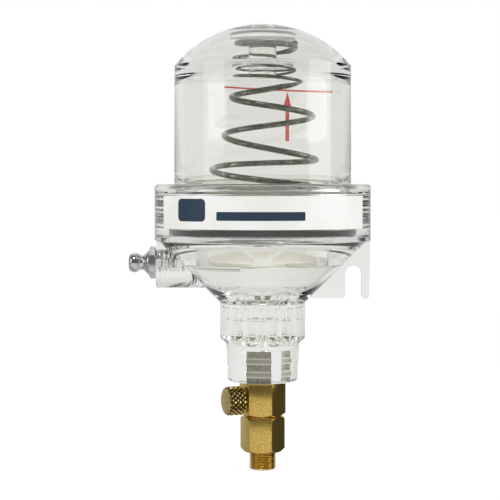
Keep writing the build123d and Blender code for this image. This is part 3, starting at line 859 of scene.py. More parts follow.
@dataclass(frozen=True)
class NitrileRubber:
    """Nitrile rubber, compression-moulded.

    It is a soft black with a faint grey bloom and a dull sheen.
    """

    dark: str = "#0d0e10"
    bloom: str = "#1a1b1e"
    bloom_mm: float = 3.0

    def material(self) -> Material:
        """Build the material.

        Returns:
            The material.
        """
        material, tree, shader, place = start_material("nitrile_rubber_moulded", {"Roughness": 0.5})
        cloud = add_node(tree, Kind.NOISE, None, {"Vector": place, "Scale": per_metre(self.bloom_mm), "Detail": 4.0})
        colour = add_node(tree, Kind.RAMP, {"stops": [(0.4, self.dark), (0.75, self.bloom)]}, {0: cloud})
        rough = add_node(tree, Kind.RANGE, None, {"Value": cloud, "To Min": 0.25, "To Max": 0.5})
        feed(tree, shader, {"Base Color": colour, "Roughness": rough})
        return material


@dataclass(frozen=True)
class LabelVinyl:
    """White vinyl label film, screen-printed.

    It is an even satin white, with a plain ink block and an ink bar where such
    a label carries its print, and it yellows a trace here and there.
    """

    radius: float = 39.35
    white: str = "#f3f3f1"
    aged: str = "#ecebe4"
    ink: str = "#22384f"
    block: Box = (-27.0, 88.6, 6.2, 3.9)
    block_corner: float = 1.6
    bar: Box = (-1.0, 86.6, 15.5, 1.5)
    bar_corner: float = 0.4
    print_edge: float = 0.05
    cloud_mm: float = 18.0

    def material(self) -> Material:
        """Build the material, with its print by the distance round the label and the height.

        Returns:
            The material.
        """
        material, tree, shader, place = start_material("label_vinyl_printed", {"Roughness": 0.38})
        axes = add_node(tree, Kind.AXES, None, {0: place}).outputs
        back = add_node(tree, Kind.MATH, {"operation": "MULTIPLY"}, {0: axes["Y"], 1: -1.0})
        turn = add_node(tree, Kind.MATH, {"operation": "ARCTAN2"}, {0: axes["X"], 1: back})
        along = add_node(tree, Kind.MATH, {"operation": "MULTIPLY"}, {0: turn, 1: self.radius})
        height = add_node(tree, Kind.MATH, {"operation": "DIVIDE"}, {0: axes["Z"], 1: MM})
        block = self.patch(tree, along, height, self.block, self.block_corner)
        bar = self.patch(tree, along, height, self.bar, self.bar_corner)
        printed = add_node(tree, Kind.MATH, {"operation": "MAXIMUM"}, {0: block, 1: bar})
        cloud = add_node(tree, Kind.NOISE, None, {"Vector": place, "Scale": per_metre(self.cloud_mm), "Detail": 2.0})
        film = add_node(tree, Kind.RAMP, {"stops": [(0.35, self.aged), (0.55, self.white)]}, {0: cloud})
        colour = add_node(
            tree, Kind.MIX, {"data_type": "RGBA"}, {"Factor": printed, "A": film, "B": linear(self.ink)}
        )
        feed(tree, shader, {"Base Color": colour})
        return material

    def patch(self, tree: Tree, along: Node, height: Node, box: Box, corner: float) -> Node:
        """Mask a rectangle with round corners on the label.

        Args:
            tree: The node tree.
            along: Node with the distance round the label in millimetres.
            height: Node with the height in millimetres.
            box: Middle along and up, then half length and half height.
            corner: Radius of its corners.

        Returns:
            A node that gives 1 inside the rectangle and 0 outside.
        """
        reach = []
        for value, middle, half in ((along, box[0], box[2]), (height, box[1], box[3])):
            away = add_node(tree, Kind.MATH, {"operation": "SUBTRACT"}, {0: value, 1: middle})
            size = add_node(tree, Kind.MATH, {"operation": "ABSOLUTE"}, {0: away})
            past = add_node(tree, Kind.MATH, {"operation": "SUBTRACT"}, {0: size, 1: half - corner})
            reach.append(add_node(tree, Kind.MATH, {"operation": "MAXIMUM"}, {0: past, 1: 0.0}))
        joined = add_node(tree, Kind.JOINED_AXES, None, {"X": reach[0], "Y": reach[1]})
        length = add_node(tree, Kind.VECTOR, {"operation": "LENGTH"}, {0: joined})
        low, high = corner - self.print_edge, corner + self.print_edge
        return add_node(
            tree, Kind.RANGE, None, {"Value": length, "From Min": low, "From Max": high, "To Min": 1.0, "To Max": 0.0}
        )


@dataclass(frozen=True)
class PrintInk:
    """Red pad-printing ink on the dome.

    It is a flat tomato red that is a little thinner in places, and light comes
    through it.
    """

    full: str = "#f0442f"
    thin: str = "#f46a55"
    patch_mm: float = 1.2
    through: float = 0.6

    def material(self) -> Material:
        """Build the material.

        Returns:
            The material.
        """
        material, tree, shader, place = start_material("pad_print_red", {"Roughness": 0.45})
        patchy = add_node(tree, Kind.NOISE, None, {"Vector": place, "Scale": per_metre(self.patch_mm), "Detail": 3.0})
        colour = add_node(tree, Kind.RAMP, {"stops": [(0.4, self.full), (0.7, self.thin)]}, {0: patchy})
        feed(tree, shader, {"Base Color": colour})
        lit = add_node(tree, Kind.TRANSLUCENT, None, {"Color": colour})
        film = add_node(tree, Kind.MIX_SHADER, None, {0: self.through, 1: shader, 2: lit})
        feed(tree, tree.nodes["Material Output"], {"Surface": film})
        return material


# ------------------------------------------------------------- geometry recipes
class Recipe:
    """A Geometry Nodes tree with named inputs, run once into a plain mesh."""

    def __init__(self, name: str) -> None:
        """Start the tree with its geometry sockets.

        Args:
            name: Name of the tree.
        """
        self.tree = bpy.data.node_groups.new(name, "GeometryNodeTree")
        for way in ("INPUT", "OUTPUT"):
            self.tree.interface.new_socket("Geometry", in_out=way, socket_type="NodeSocketGeometry")
        self.source = add_node(self.tree, Kind.GROUP_IN)
        self.keys: dict[str, str] = {}

    def number(self, name: str, whole: bool = False) -> Socket:
        """Add a named number input.

        Args:
            name: Name of the input.
            whole: Whether it is a count.

        Returns:
            Its socket inside the tree.
        """
        kind = "NodeSocketInt" if whole else "NodeSocketFloat"
        socket = self.tree.interface.new_socket(name, in_out="INPUT", socket_type=kind)
        self.keys[name] = socket.identifier
        return self.source.outputs[name]

    def end(self, shape: Node, material: Material) -> None:
        """Realize what was made, and give it its material.

        Args:
            shape: The node that gives the geometry.
            material: Its material.
        """
        real = add_node(self.tree, Kind.REALIZE, None, {0: shape})
        done = add_node(self.tree, Kind.SET_MATERIAL, None, {"Geometry": real, "Material": material})
        add_node(self.tree, Kind.GROUP_OUT, None, {0: done})

    def run(self, name: str, values: dict[str, float], mesh: Mesh | None = None) -> Piece:
        """Run the tree on a mesh.

        Args:
            name: Name of the new object.
            values: Values of the named inputs.
            mesh: What the tree starts from, or nothing.

        Returns:
            A new object with the plain result.
        """
        holder = new_object(name, mesh or bpy.data.meshes.new(name))
        modifier = holder.modifiers.new("recipe", "NODES")
        modifier.node_group = self.tree
        for key, value in values.items():
            modifier[self.keys[key]] = value
        bake(holder)
        return holder


def wire_recipe(material: Material) -> Recipe:
    """Make round wire along a line of edges.

    Args:
        material: The wire's material.

    Returns:
        A recipe with the inputs "Wire radius" and "Sides".
    """
    recipe = Recipe("round_wire")
    tree = recipe.tree
    radius, sides = recipe.number("Wire radius"), recipe.number("Sides", True)
    line = add_node(tree, Kind.MESH_TO_CURVE, None, {0: recipe.source.outputs["Geometry"]})
    ring = add_node(tree, Kind.CIRCLE, None, {"Resolution": sides, "Radius": radius})
    swept = add_node(tree, Kind.CURVE_TO_MESH, None, {"Curve": line, "Profile Curve": ring, "Fill Caps": True})
    recipe.end(swept, material)
    return recipe


def relief_recipe(material: Material, crossed: bool) -> Recipe:
    """Cut helical grooves into a round bar: one way for a thread, both ways for a knurl.

    Args:
        material: The bar's material.
        crossed: Whether a second set of grooves runs the other way.

    Returns:
        A recipe with the inputs "Radius", "Length", "Pitch", "Depth", "Starts",
        "Lead", "Cone length", "Cone depth", "Round steps", "Length steps" and
        "Tip power".
    """
    recipe = Recipe("knurled_bar" if crossed else "threaded_bar")
    tree = recipe.tree
    radius, length = recipe.number("Radius"), recipe.number("Length")
    pitch, depth = recipe.number("Pitch"), recipe.number("Depth")
    starts, lead = recipe.number("Starts"), recipe.number("Lead")
    cone, cone_depth = recipe.number("Cone length"), recipe.number("Cone depth")
    round_steps, length_steps = recipe.number("Round steps", True), recipe.number("Length steps", True)
    tip_power = recipe.number("Tip power")
    bar = add_node(
        tree,
        Kind.CYLINDER,
        {"fill_type": "TRIANGLE_FAN"},
        {
            "Vertices": round_steps,
            "Side Segments": length_steps,
            "Fill Segments": 1,
            "Radius": radius,
            "Depth": length,
        },
    )
    # Each groove follows a helix: its phase is the height in pitches, less or
    # more the part of a turn times the number of starts.
    place = add_node(tree, Kind.POSITION)
    axes = add_node(tree, Kind.AXES, None, {0: place}).outputs
    angle = add_node(tree, Kind.MATH, {"operation": "ARCTAN2"}, {0: axes["Y"], 1: axes["X"]})
    turns = add_node(tree, Kind.MATH, {"operation": "DIVIDE"}, {0: angle, 1: 2 * math.pi})
    round_way = add_node(tree, Kind.MATH, {"operation": "MULTIPLY"}, {0: turns, 1: starts})
    rise = add_node(tree, Kind.MATH, {"operation": "DIVIDE"}, {0: axes["Z"], 1: pitch})
    waves = []
    for operation in ("SUBTRACT", "ADD") if crossed else ("SUBTRACT",):
        phase = add_node(tree, Kind.MATH, {"operation": operation}, {0: rise, 1: round_way})
        wave = add_node(tree, Kind.MATH, {"operation": "PINGPONG"}, {0: phase, 1: 0.5})
        waves.append(add_node(tree, Kind.MATH, {"operation": "MULTIPLY"}, {0: wave, 1: 2.0}))
    tip = waves[0]
    if crossed:
        tip = add_node(tree, Kind.MATH, {"operation": "MINIMUM"}, {0: waves[0], 1: waves[1]})
    fall = add_node(tree, Kind.MATH, {"operation": "SUBTRACT"}, {0: 1.0, 1: tip})
    hollow = add_node(tree, Kind.MATH, {"operation": "POWER"}, {0: fall, 1: tip_power})
    # The relief fades into its full depth at both ends, and a cone takes off the top edge.
    half = add_node(tree, Kind.MATH, {"operation": "MULTIPLY"}, {0: length, 1: 0.5})
    reach = add_node(tree, Kind.MATH, {"operation": "ABSOLUTE"}, {0: axes["Z"]})
    inside = add_node(tree, Kind.MATH, {"operation": "SUBTRACT"}, {0: half, 1: reach})
    fade = add_node(
        tree, Kind.RANGE, None, {"Value": inside, "From Min": 0.0, "From Max": lead, "To Min": 1.0, "To Max": 0.0}
    )
    ended = add_node(tree, Kind.MATH, {"operation": "MAXIMUM"}, {0: hollow, 1: fade})
    groove = add_node(tree, Kind.MATH, {"operation": "MULTIPLY"}, {0: ended, 1: depth})
    to_end = add_node(tree, Kind.MATH, {"operation": "SUBTRACT"}, {0: half, 1: axes["Z"]})
    coned = add_node(
        tree,
        Kind.RANGE,
        None,
        {"Value": to_end, "From Min": 0.0, "From Max": cone, "To Min": cone_depth, "To Max": 0.0},
    )
    cut = add_node(tree, Kind.MATH, {"operation": "ADD"}, {0: groove, 1: coned})
    # The middles of the end caps, nearer the axis than half the radius, stay where they are.
    squares = [
        add_node(tree, Kind.MATH, {"operation": "MULTIPLY"}, {0: axes[name], 1: axes[name]}) for name in ("X", "Y")
    ]
    summed = add_node(tree, Kind.MATH, {"operation": "ADD"}, {0: squares[0], 1: squares[1]})
    across = add_node(tree, Kind.MATH, {"operation": "SQRT"}, {0: summed})
    middle = add_node(tree, Kind.MATH, {"operation": "MULTIPLY"}, {0: radius, 1: 0.5})
    on_side = add_node(tree, Kind.MATH, {"operation": "GREATER_THAN"}, {0: across, 1: middle})
    cut = add_node(tree, Kind.MATH, {"operation": "MULTIPLY"}, {0: cut, 1: on_side})
    share = add_node(tree, Kind.MATH, {"operation": "DIVIDE"}, {0: cut, 1: radius})
    inward = add_node(tree, Kind.MATH, {"operation": "MULTIPLY"}, {0: share, 1: -1.0})
    flatten = add_node(tree, Kind.VECTOR, {"operation": "MULTIPLY"}, {0: place, 1: (1.0, 1.0, 0.0)})
    offset = add_node(tree, Kind.VECTOR, {"operation": "SCALE"}, {0: flatten, "Scale": inward})
    moved = add_node(tree, Kind.SET_POSITION, None, {"Geometry": bar, "Offset": offset})
    recipe.end(moved, material)
    return recipe


# ------------------------------------------------------------------ assemblies
@dataclass
class Hexagon:
    """A wrench hexagon with turned crowns at its ends."""

    flats: float
    foot: float
    top: float
    turn: float
    crown_foot: bool
    crown_top: bool
    ring: float = 0.3
    crown_angle: float = 30.0
    edge: float = 0.16

    def build(self, name: str, place: Matrix | None = None) -> Piece:
        """Make the hexagon.

        Args:
            name: Name of the object.
            place: Where its axis lies, in millimetres, if not upright at the origin.

        Returns:
            The new object.
        """
        matrix = place or Matrix.Identity(4)
        lift = matrix @ Matrix.Translation((0, 0, self.foot))
        body = prism(name, hexagon(self.flats, self.turn), self.top - self.foot, lift)
        inner = self.flats / 2 - self.ring
        outer = self.flats / math.sqrt(3) + 0.6
        drop = (outer - inner) * math.tan(math.radians(self.crown_angle))
        foot, top = self.foot, self.top
        section = [(0, foot - 0.01 if self.crown_foot else foot - 1)]
        if self.crown_foot:
            section += [(inner, foot - 0.01), (outer, foot + drop)]
        else:
            section += [(outer, foot - 1)]
        if self.crown_top:
            section += [(outer, top - drop), (inner, top + 0.01), (0, top + 0.01)]
        else:
            section += [(outer, top + 1), (0, top + 1)]
        combine(body, turned("crown", section, 96, matrix), Cut.KEEP_COMMON)
        clean(body.data)
        break_edges(body, self.edge)
        return body


@dataclass
class OutletValve:
    """The brass adaptor with its male thread, the valve body and the metering screw."""

    hex_turn: float = 23.3
    adaptor_flats: float = 14.2
    adaptor_top: float = 13.3
    thread_radius: float = 4.864
    thread_length: float = 6.5
    thread_pitch: float = 0.907
    thread_depth: float = 0.5
    thread_lead: float = 0.45
    thread_tip_power: float = 1.3
    thread_round_steps: int = 96
    thread_length_steps: int = 84
    core_radii: Point = (4.1, 4.3)
    overlap: float = 0.02
    valve_flats: float = 14.7
    valve_top: float = 26.0
    screw_z: float = 19.0
    stem_radius: float = 2.2
    stem_play: float = 0.05
    bore_end: float = 12.0
    needle_foot: float = 0.1
    needle_top: float = 3.1
    needle_radii: Point = (0.46, 1.1)
    passage_radius: float = 1.5
    adaptor_bore: float = 2.2
    socket_depth: float = 9.0
    lower_spigot: float = 8.5
    upper_spigot: float = 8.0
    spigot_radius: float = 4.7
    spigot_chamfer: float = 0.4
    groove_middle: float = 4.15
    groove_radius: float = 0.76
    knob_foot: float = 8.45
    knob_length: float = 6.4
    knob_radius: float = 5.35
    knurl_depth: float = 0.62
    knurl_round: int = 18
    knurl_pitch: float = 1.9
    knurl_lead: float = 0.05
    knurl_tip_power: float = 1.15
    knurl_steps_each: int = 16
    knurl_length_steps: int = 60
    edge: float = 0.9
    edge_taper: float = 35.0

    def build_adaptor(self, brass: Material) -> Piece:
        """Make the lower hexagon with its threaded end.

        Args:
            brass: Its material.

        Returns:
            The new object.
        """
        top, length = self.adaptor_top, self.thread_length
        shape = Hexagon(self.adaptor_flats, 0.0, top, self.hex_turn, True, True, crown_angle=42.0)
        piece = shape.build("adaptor_dressed")
        socket = self.thread_radius + 0.03
        hollow = [(0, -1), (self.adaptor_bore, -1), (self.adaptor_bore, top - self.socket_depth)]
        hollow += [(socket, top - self.socket_depth), (socket, top + 1), (0, top + 1)]
        combine(piece, turned("hollow", hollow, 64), Cut.REMOVE)
        dress(piece, brass)
        shade(piece.data, 40)
        thread = relief_recipe(brass, crossed=False).run(
            "thread",
            {
                "Radius": self.thread_radius * MM,
                "Length": (length - self.thread_lead) * MM,
                "Pitch": self.thread_pitch * MM,
                "Depth": self.thread_depth * MM,
                "Starts": 1.0,
                "Lead": self.thread_lead * MM,
                "Cone length": 0.01 * MM,
                "Cone depth": 0.0,
                "Tip power": self.thread_tip_power,
                "Round steps": self.thread_round_steps,
                "Length steps": self.thread_length_steps,
            },
        )
        thread.data.transform(Matrix.Translation((0, 0, (-length - self.thread_lead) / 2 * MM)))
        combine(thread, turned("hollow", rod(self.adaptor_bore, -length - 1, 1), 64), Cut.REMOVE)
        dress(thread, brass)
        tip, core = self.core_radii
        core_line = [(self.adaptor_bore, -length), (tip, -length), (core, 0.5 - length), (core, self.overlap)]
        core_piece = turned("core", [*core_line, (self.adaptor_bore, self.overlap)], 64)
        dress(core_piece, brass)
        gather(piece, [thread, core_piece])
        shade(piece.data, 32)
        return piece

    def build_valve(self, brass: Material) -> Piece:
        """Make the upper hexagon, which carries the metering screw.

        Args:
            brass: Its material.

        Returns:
            The new object.
        """
        shape = Hexagon(self.valve_flats, self.adaptor_top, self.valve_top, self.hex_turn, True, False)
        piece = shape.build("valve_dressed")
        low, high = self.adaptor_top - self.lower_spigot, self.valve_top + self.upper_spigot
        outer, inner = self.spigot_radius, self.spigot_radius - self.spigot_chamfer
        spigot = [(0, low), (inner, low), (outer, low + self.spigot_chamfer)]
        spigot += [(outer, high - self.spigot_chamfer), (inner, high), (0, high)]
        combine(piece, turned("spigot", spigot, 64), Cut.JOIN)
        combine(piece, turned("passage", rod(self.passage_radius, low - 1, high + 1), 48), Cut.REMOVE)
        bore = rod(self.stem_radius + self.stem_play, 0, self.bore_end)
        combine(piece, turned("bore", bore, 48, self.screw_place()), Cut.REMOVE)
        dress(piece, brass)
        shade(piece.data, 40)
        return piece

    def screw_place(self) -> Matrix:
        """Give the matrix that lays an upright piece along the metering screw's axis.

        Returns:
            The matrix, in millimetres.
        """
        direction = Vector((*polar(-1.0, self.hex_turn), 0))
        matrix = direction.to_track_quat("Z", "Y").to_matrix().to_4x4()
        return Matrix.Translation((0, 0, self.screw_z)) @ matrix

    def build_screw(self, brass: Material) -> Piece:
        """Make the metering screw: stem, needle and knurled knob.

        Args:
            brass: Its material.

        Returns:
            The new object.
        """
        place = self.screw_place()
        foot, end, reach = self.knob_foot, self.knob_foot + self.knob_length, self.knob_radius
        knurl_length = self.knob_length - 0.1
        core = reach - self.knurl_depth - 0.1
        cone_depth = self.edge * math.tan(math.radians(self.edge_taper))
        tip, needle = self.needle_radii
        section = [(0, self.needle_foot), (tip, self.needle_foot), (needle, self.needle_top)]
        near, far = self.groove_middle - self.groove_radius, self.groove_middle + self.groove_radius
        stem, groove = self.stem_radius, self.stem_radius - self.groove_radius
        section += [(stem, self.needle_top), (stem, near), (groove, near), (groove, far), (stem, far), (stem, foot)]
        section += [(core - 0.3, foot), (core, foot + 0.3), (core, end - self.edge)]
        section += [(core - cone_depth * 0.6, end - 0.12), (core - cone_depth - 0.5, end - 0.02), (0, end)]
        piece = turned("screw_dressed", section, 96, place)
        dress(piece, brass)
        knurl = relief_recipe(brass, crossed=True).run(
            "knurl",
            {
                "Radius": reach * MM,
                "Length": knurl_length * MM,
                "Pitch": self.knurl_pitch * MM,
                "Depth": self.knurl_depth * MM,
                "Starts": float(self.knurl_round),
                "Lead": self.knurl_lead * MM,
                "Cone length": self.edge * MM,
                "Cone depth": cone_depth * MM,
                "Tip power": self.knurl_tip_power,
                "Round steps": self.knurl_round * self.knurl_steps_each,
                "Length steps": self.knurl_length_steps,
            },
        )
        matrix = place @ Matrix.Translation((0, 0, foot + knurl_length / 2))
        matrix.translation *= MM
        knurl.data.transform(matrix)
        gather(piece, [knurl])
        shade(piece.data, 24)
        return piece


@dataclass
class Bowl:
    """The clear bowl: neck, round body, cone, threaded collar, side boss and slotted plate."""

    neck_foot: float = 26.0
    neck_foot_radius: float = 12.7
    neck_top: float = 39.6
    neck_top_radius: float = 13.4
    body_foot: float = 41.6
    body_top: float = 54.6
    body_radius: float = 15.5
    collar_foot: float = 77.1
    collar_top: float = 97.6
    collar_radius: float = 39.2
    cone_top_radius: float = 38.0
    ledge: float = 79.3
    thread_radius: float = 35.0
    thread_pitch: float = 1.5
    thread_depth: float = 0.55
    bore_radius: float = 27.5
    inner_cone_top: float = 69.7
    mouth_radius: float = 16.8
    chamber_radius: float = 8.7
    chamber_floor: float = 48.4
    chamber_top: float = 59.0
    passage_radius: float = 1.2
    insert_height: float = 11.5
    insert_flats: float = 12.6
    insert_band_flats: float = 13.3
    insert_bands: tuple[float, float] = (2.2, 6.95)
    insert_band_height: float = 2.0
    insert_turn: float = 20.0
    insert_gap: float = 0.02
    boss_radius: float = 7.0
    boss_axis: float = 66.8
    boss_end: float = -38.6
    nipple_axis: float = 69.0
    nipple_radius: float = 3.93
    nipple_hole: float = 10.5
    nipple_pitch: float = 1.5
    plate_thickness: float = 3.0
    plate_foot: float = 56.2
    prong_foot: float = 55.8
    slot_centre: Point = (33.0, 64.9)
    slot_width: float = 5.95
    web_end: float = -20.0
    overlap: float = 0.6
    plate_corner: float = 0.8
    plate_start: float = 14.5
    flutes: int = 12
    flute_radius: float = 1.0
    flute_top: float = 53.1
    pockets: int = 6
    pocket_ring: float = 6.1
    pocket_foot: float = 41.6
    pocket_foot_radius: float = 0.88
    pocket_shoulder: float = 42.8
    pocket_radius: float = 2.2
    pocket_top: float = 49.2
    tapped_teeth: int = 6
    port_radius: float = 1.5
    port_start: float = 8.0
    segments: int = 240

    def build(self, name: str = "bowl_clear") -> Piece:
        """Make the bowl as one closed shell.

        Args:
            name: Name of the object.

        Returns:
            The new object.
        """
        piece = turned(name, self.outside(), self.segments)
        combine(piece, self.boss(), Cut.JOIN)
        place = Matrix.Translation((0, self.plate_thickness / 2, 0)) @ Matrix.Rotation(math.pi / 2, 4, "X")
        for outline in (self.web_outline(), self.plate_outline()):
            combine(piece, prism("plate", outline, self.plate_thickness, place), Cut.JOIN)
        combine(piece, turned("inside", self.inside(), self.segments), Cut.REMOVE)
        for tool in self.cutters():
            combine(piece, tool, Cut.REMOVE)
        clean(piece.data)
        shade(piece.data, 26)
        return piece

    def outside(self) -> Section:
        """Give the outer section, from the axis at the foot to the axis at the top.

        Returns:
            Points as (radius, height) in millimetres.
        """
        corners = [
            (0.0, self.neck_foot, 0.0),
            (self.neck_foot_radius, self.neck_foot, 0.8),
            (self.neck_top_radius, self.neck_top, 0.3),
            (self.body_radius, self.body_foot, 0.4),
            (self.body_radius, self.body_top, 0.5),
            (self.cone_top_radius, self.collar_foot, 0.25),
            (self.collar_radius, self.collar_foot, 0.35),
            (self.collar_radius, self.collar_top, 1.6),
            (0.0, self.collar_top, 0.0),
        ]
        return softened(corners, 6)

    def inside(self) -> Section:
        """Give the inner section with the collar's thread, down to the chamber's floor.

        Returns:
            Points as (radius, height) in millimetres.
        """
        bottom, top = self.ledge + 2.7, self.collar_top - 2.1
        count = int((top - bottom) / self.thread_pitch)
        root = self.thread_radius + self.thread_depth
        corners = [
            (0.0, self.collar_top + 1, 0.0),
            (self.thread_radius + 1.8, self.collar_top + 1, 0.0),
            (self.thread_radius, self.collar_top - 0.8, 0.2),
            *teeth((self.thread_radius, root), top, -self.thread_pitch, count),
            (self.thread_radius, top - count * self.thread_pitch, 0.2),
            (self.thread_radius, self.ledge, 0.3),
            (self.bore_radius, self.ledge, 0.3),
            (self.bore_radius, self.inner_cone_top, 0.8),
            (self.mouth_radius, self.chamber_top, 0.5),
            (self.chamber_radius, self.chamber_top, 0.5),
            (self.chamber_radius, self.chamber_floor, 0.3),
            (0.0, self.chamber_floor, 0.0),
        ]
        return softened(corners, 3)

    def boss(self) -> Piece:
        """Make the round side boss that carries the nipple.

        Returns:
            The new object.
        """
        start, end, radius = self.body_radius, -self.boss_end, self.boss_radius
        section = softened([(0, start, 0), (radius, start, 0), (radius, end, 0.6), (0, end, 0)], 5)
        return turned("boss", section, 96, sideways(self.boss_axis))

    def web_outline(self) -> Section:
        """Give the outline of the web between the boss and the collar.

        Returns:
            Points as (x, z) in millimetres.
        """
        left, right = self.boss_end + 0.02, self.web_end
        low, high = self.boss_axis, self.collar_foot + self.overlap
        return [(left, low), (right, low), (right, high), (left, high)]

    def plate_outline(self) -> Section:
        """Give the outline of the slotted plate.

        Returns:
            Points as (x, z) in millimetres.
        """
        centre_x, centre_z = self.slot_centre
        half = self.slot_width / 2
        edge, foot, prong = self.collar_radius - 0.06, self.plate_foot, self.prong_foot
        outline = [(self.plate_start, foot)]
        corner = self.plate_corner
        outline += arc((centre_x - half - corner, foot + corner), corner, -90, 0, 6)
        outline += arc((centre_x, centre_z), half, 180, 0, 24)
        inner, outer = centre_x + half, edge - 0.4
        tip = (outer - inner) * 0.45
        outline += arc((inner + tip, prong + tip), tip, 180, 270, 6)
        outline += arc((outer - tip, prong + tip), tip, 270, 360, 6)
        outline += [(edge, self.collar_foot + self.overlap), (self.plate_start, self.collar_foot + self.overlap)]
        return outline

    def cutters(self) -> list[Piece]:
        """Make the solids that are cut out of the bowl.

        Returns:
            The new objects.
        """
        floor = self.chamber_floor
        passage = rod(self.passage_radius, self.neck_foot + 2, floor + 1)
        tools = [turned("passage", passage, 32), *self.insert_cutters()]
        radius, top = self.flute_radius, self.flute_top
        flute = softened([(0, floor, 0), (radius, floor, 0.2), (radius, top, 0.4), (0, top, 0)], 3)
        for step in range(self.flutes):
            lay = Matrix.Translation((*polar(self.chamber_radius, step * 360 / self.flutes), 0))
            tools.append(turned("flute", flute, 24, lay))
        radius, top = self.pocket_radius, self.pocket_top
        corners = [(0, self.pocket_foot, 0), (self.pocket_foot_radius, self.pocket_foot, 0.3)]
        corners += [(radius, self.pocket_shoulder, 0.5), (radius, top, 0), (0, top, 0)]
        for step in range(self.pockets):
            lay = Matrix.Translation((*polar(self.pocket_ring, step * 360 / self.pockets), 0))
            tools.append(turned("pocket", softened(corners, 4), 48, lay))
        return tools + self.nipple_cutters()

    def insert_cutters(self) -> list[Piece]:
        """Make the solids that clear room for the insert and its two bands.

        Returns:
            The new objects.
        """
        gap, band_height = self.insert_gap, self.insert_band_height
        height = self.insert_height + 0.5 + gap
        lay = Matrix.Translation((0, 0, self.neck_foot - 0.5))
        tools = [prism("pocket", hexagon(self.insert_flats + 2 * gap, self.insert_turn), height, lay)]
        outline = hexagon(self.insert_band_flats + 2 * gap, self.insert_turn)
        for band in self.insert_bands:
            lay = Matrix.Translation((0, 0, self.neck_foot + band - gap))
            tools.append(prism("band", outline, band_height + 2 * gap, lay))
        return tools

    def nipple_cutters(self) -> list[Piece]:
        """Make the tapped hole for the nipple and the port behind it.

        Returns:
            The new objects.
        """
        place = sideways(self.nipple_axis)
        radius, mouth = self.nipple_radius, 1 - self.boss_end
        deep = -self.boss_end - self.nipple_hole
        first = deep + 0.4
        last = first + self.tapped_teeth * self.nipple_pitch
        corners = [(0, deep, 0.0), (radius, deep, 0.1)]
        corners += teeth((radius, radius + 0.3), first, self.nipple_pitch, self.tapped_teeth, (0.05, 0.1))
        corners += [(radius, last, 0.1), (radius, mouth, 0.0), (0, mouth, 0.0)]
        port = rod(self.port_radius, self.port_start, deep + 1)
        return [turned("tapped_hole", softened(corners, 2), 96, place), turned("port", port, 32, place)]


@dataclass
class Dome:
    """The clear dome with its threaded flange, thin crown and spring plug."""

    foot: float = 81.5
    bore_radius: float = 28.3
    thread_radius: float = 34.9
    thread_top: float = 95.5
    thread_pitch: float = 1.5
    thread_depth: float = 0.5
    radius: float = 32.1
    shoulder_radius: float = 31.9
    shoulder: float = 140.1
    apex: float = 155.2
    ceiling_apex: float = 152.4
    ceiling_radius: float = 32.7
    corner_radius: float = 13.9
    seat_radius: float = 11.8
    seat: float = 146.9
    boss_radius: float = 5.0
    boss_foot: float = 137.0
    segments: int = 288

    def build(self, name: str = "dome_clear") -> Piece:
        """Make the dome as one turned shell.

        Args:
            name: Name of the object.

        Returns:
            The new object.
        """
        return turned(name, self.outside() + self.inside(), self.segments, sharp_angle=24)

    def outside(self) -> Section:
        """Give the outer section, from the foot to the apex.

        Returns:
            Points as (radius, height) in millimetres.
        """
        count = int((self.thread_top - self.foot - 1.0) / self.thread_pitch)
        first = self.thread_top - 0.1 - count * self.thread_pitch
        crest = self.thread_radius + self.thread_depth
        corners = [
            (self.bore_radius, self.foot, 0.0),
            (self.thread_radius - 0.6, self.foot, 0.1),
            (self.thread_radius, self.foot + 0.6, 0.1),
            *teeth((self.thread_radius, crest), first, self.thread_pitch, count),
            (self.thread_radius, self.thread_top - 0.1, 0.1),
            (self.thread_radius - 0.4, self.thread_top, 0.1),
            (self.radius, self.thread_top + 1.0, 0.4),
            (self.shoulder_radius, self.shoulder, 0.0),
        ]
        rise = self.apex - self.shoulder
        sphere = (self.shoulder_radius**2 + rise**2) / (2 * rise)
        start = math.degrees(math.acos(self.shoulder_radius / sphere))
        cap = arc((0, self.apex - sphere), sphere, start, 90, 48)
        cap[-1] = (0.0, self.apex)
        line = softened(corners, 3)[:-1]
        edge = softened([(line[-1][0], line[-1][1], 0), (self.shoulder_radius, self.shoulder, 0.35), (*cap[2], 0)], 4)
        return line[:-1] + edge[:-1] + cap[2:]

    def inside(self) -> Section:
        """Give the inner section, from the plug on the axis to the foot of the bore.

        Returns:
            Points as (radius, height) in millimetres.
        """
        centre = self.ceiling_apex - self.ceiling_radius
        corner_x = self.bore_radius - self.corner_radius
        corner_z = centre + math.sqrt((self.ceiling_radius - self.corner_radius) ** 2 - corner_x**2)
        tilt = math.degrees(math.atan2(corner_z - centre, corner_x))
        seat_turn = math.degrees(math.acos((self.seat_radius + 0.4) / self.ceiling_radius))
        ceiling = arc((0, centre), self.ceiling_radius, seat_turn, tilt, 28)
        corners = [(0, self.boss_foot, 0), (self.boss_radius, self.boss_foot, 0.6), (self.boss_radius, self.seat, 0.25)]
        corners += [(self.seat_radius, self.seat, 0.8), (*ceiling[0], 1.4), (*ceiling[2], 0)]
        plug = softened(corners, 8)[:-1]
        corner = arc((corner_x, corner_z), self.corner_radius, tilt, 0, 40)[1:]
        return plug + ceiling[3:] + corner


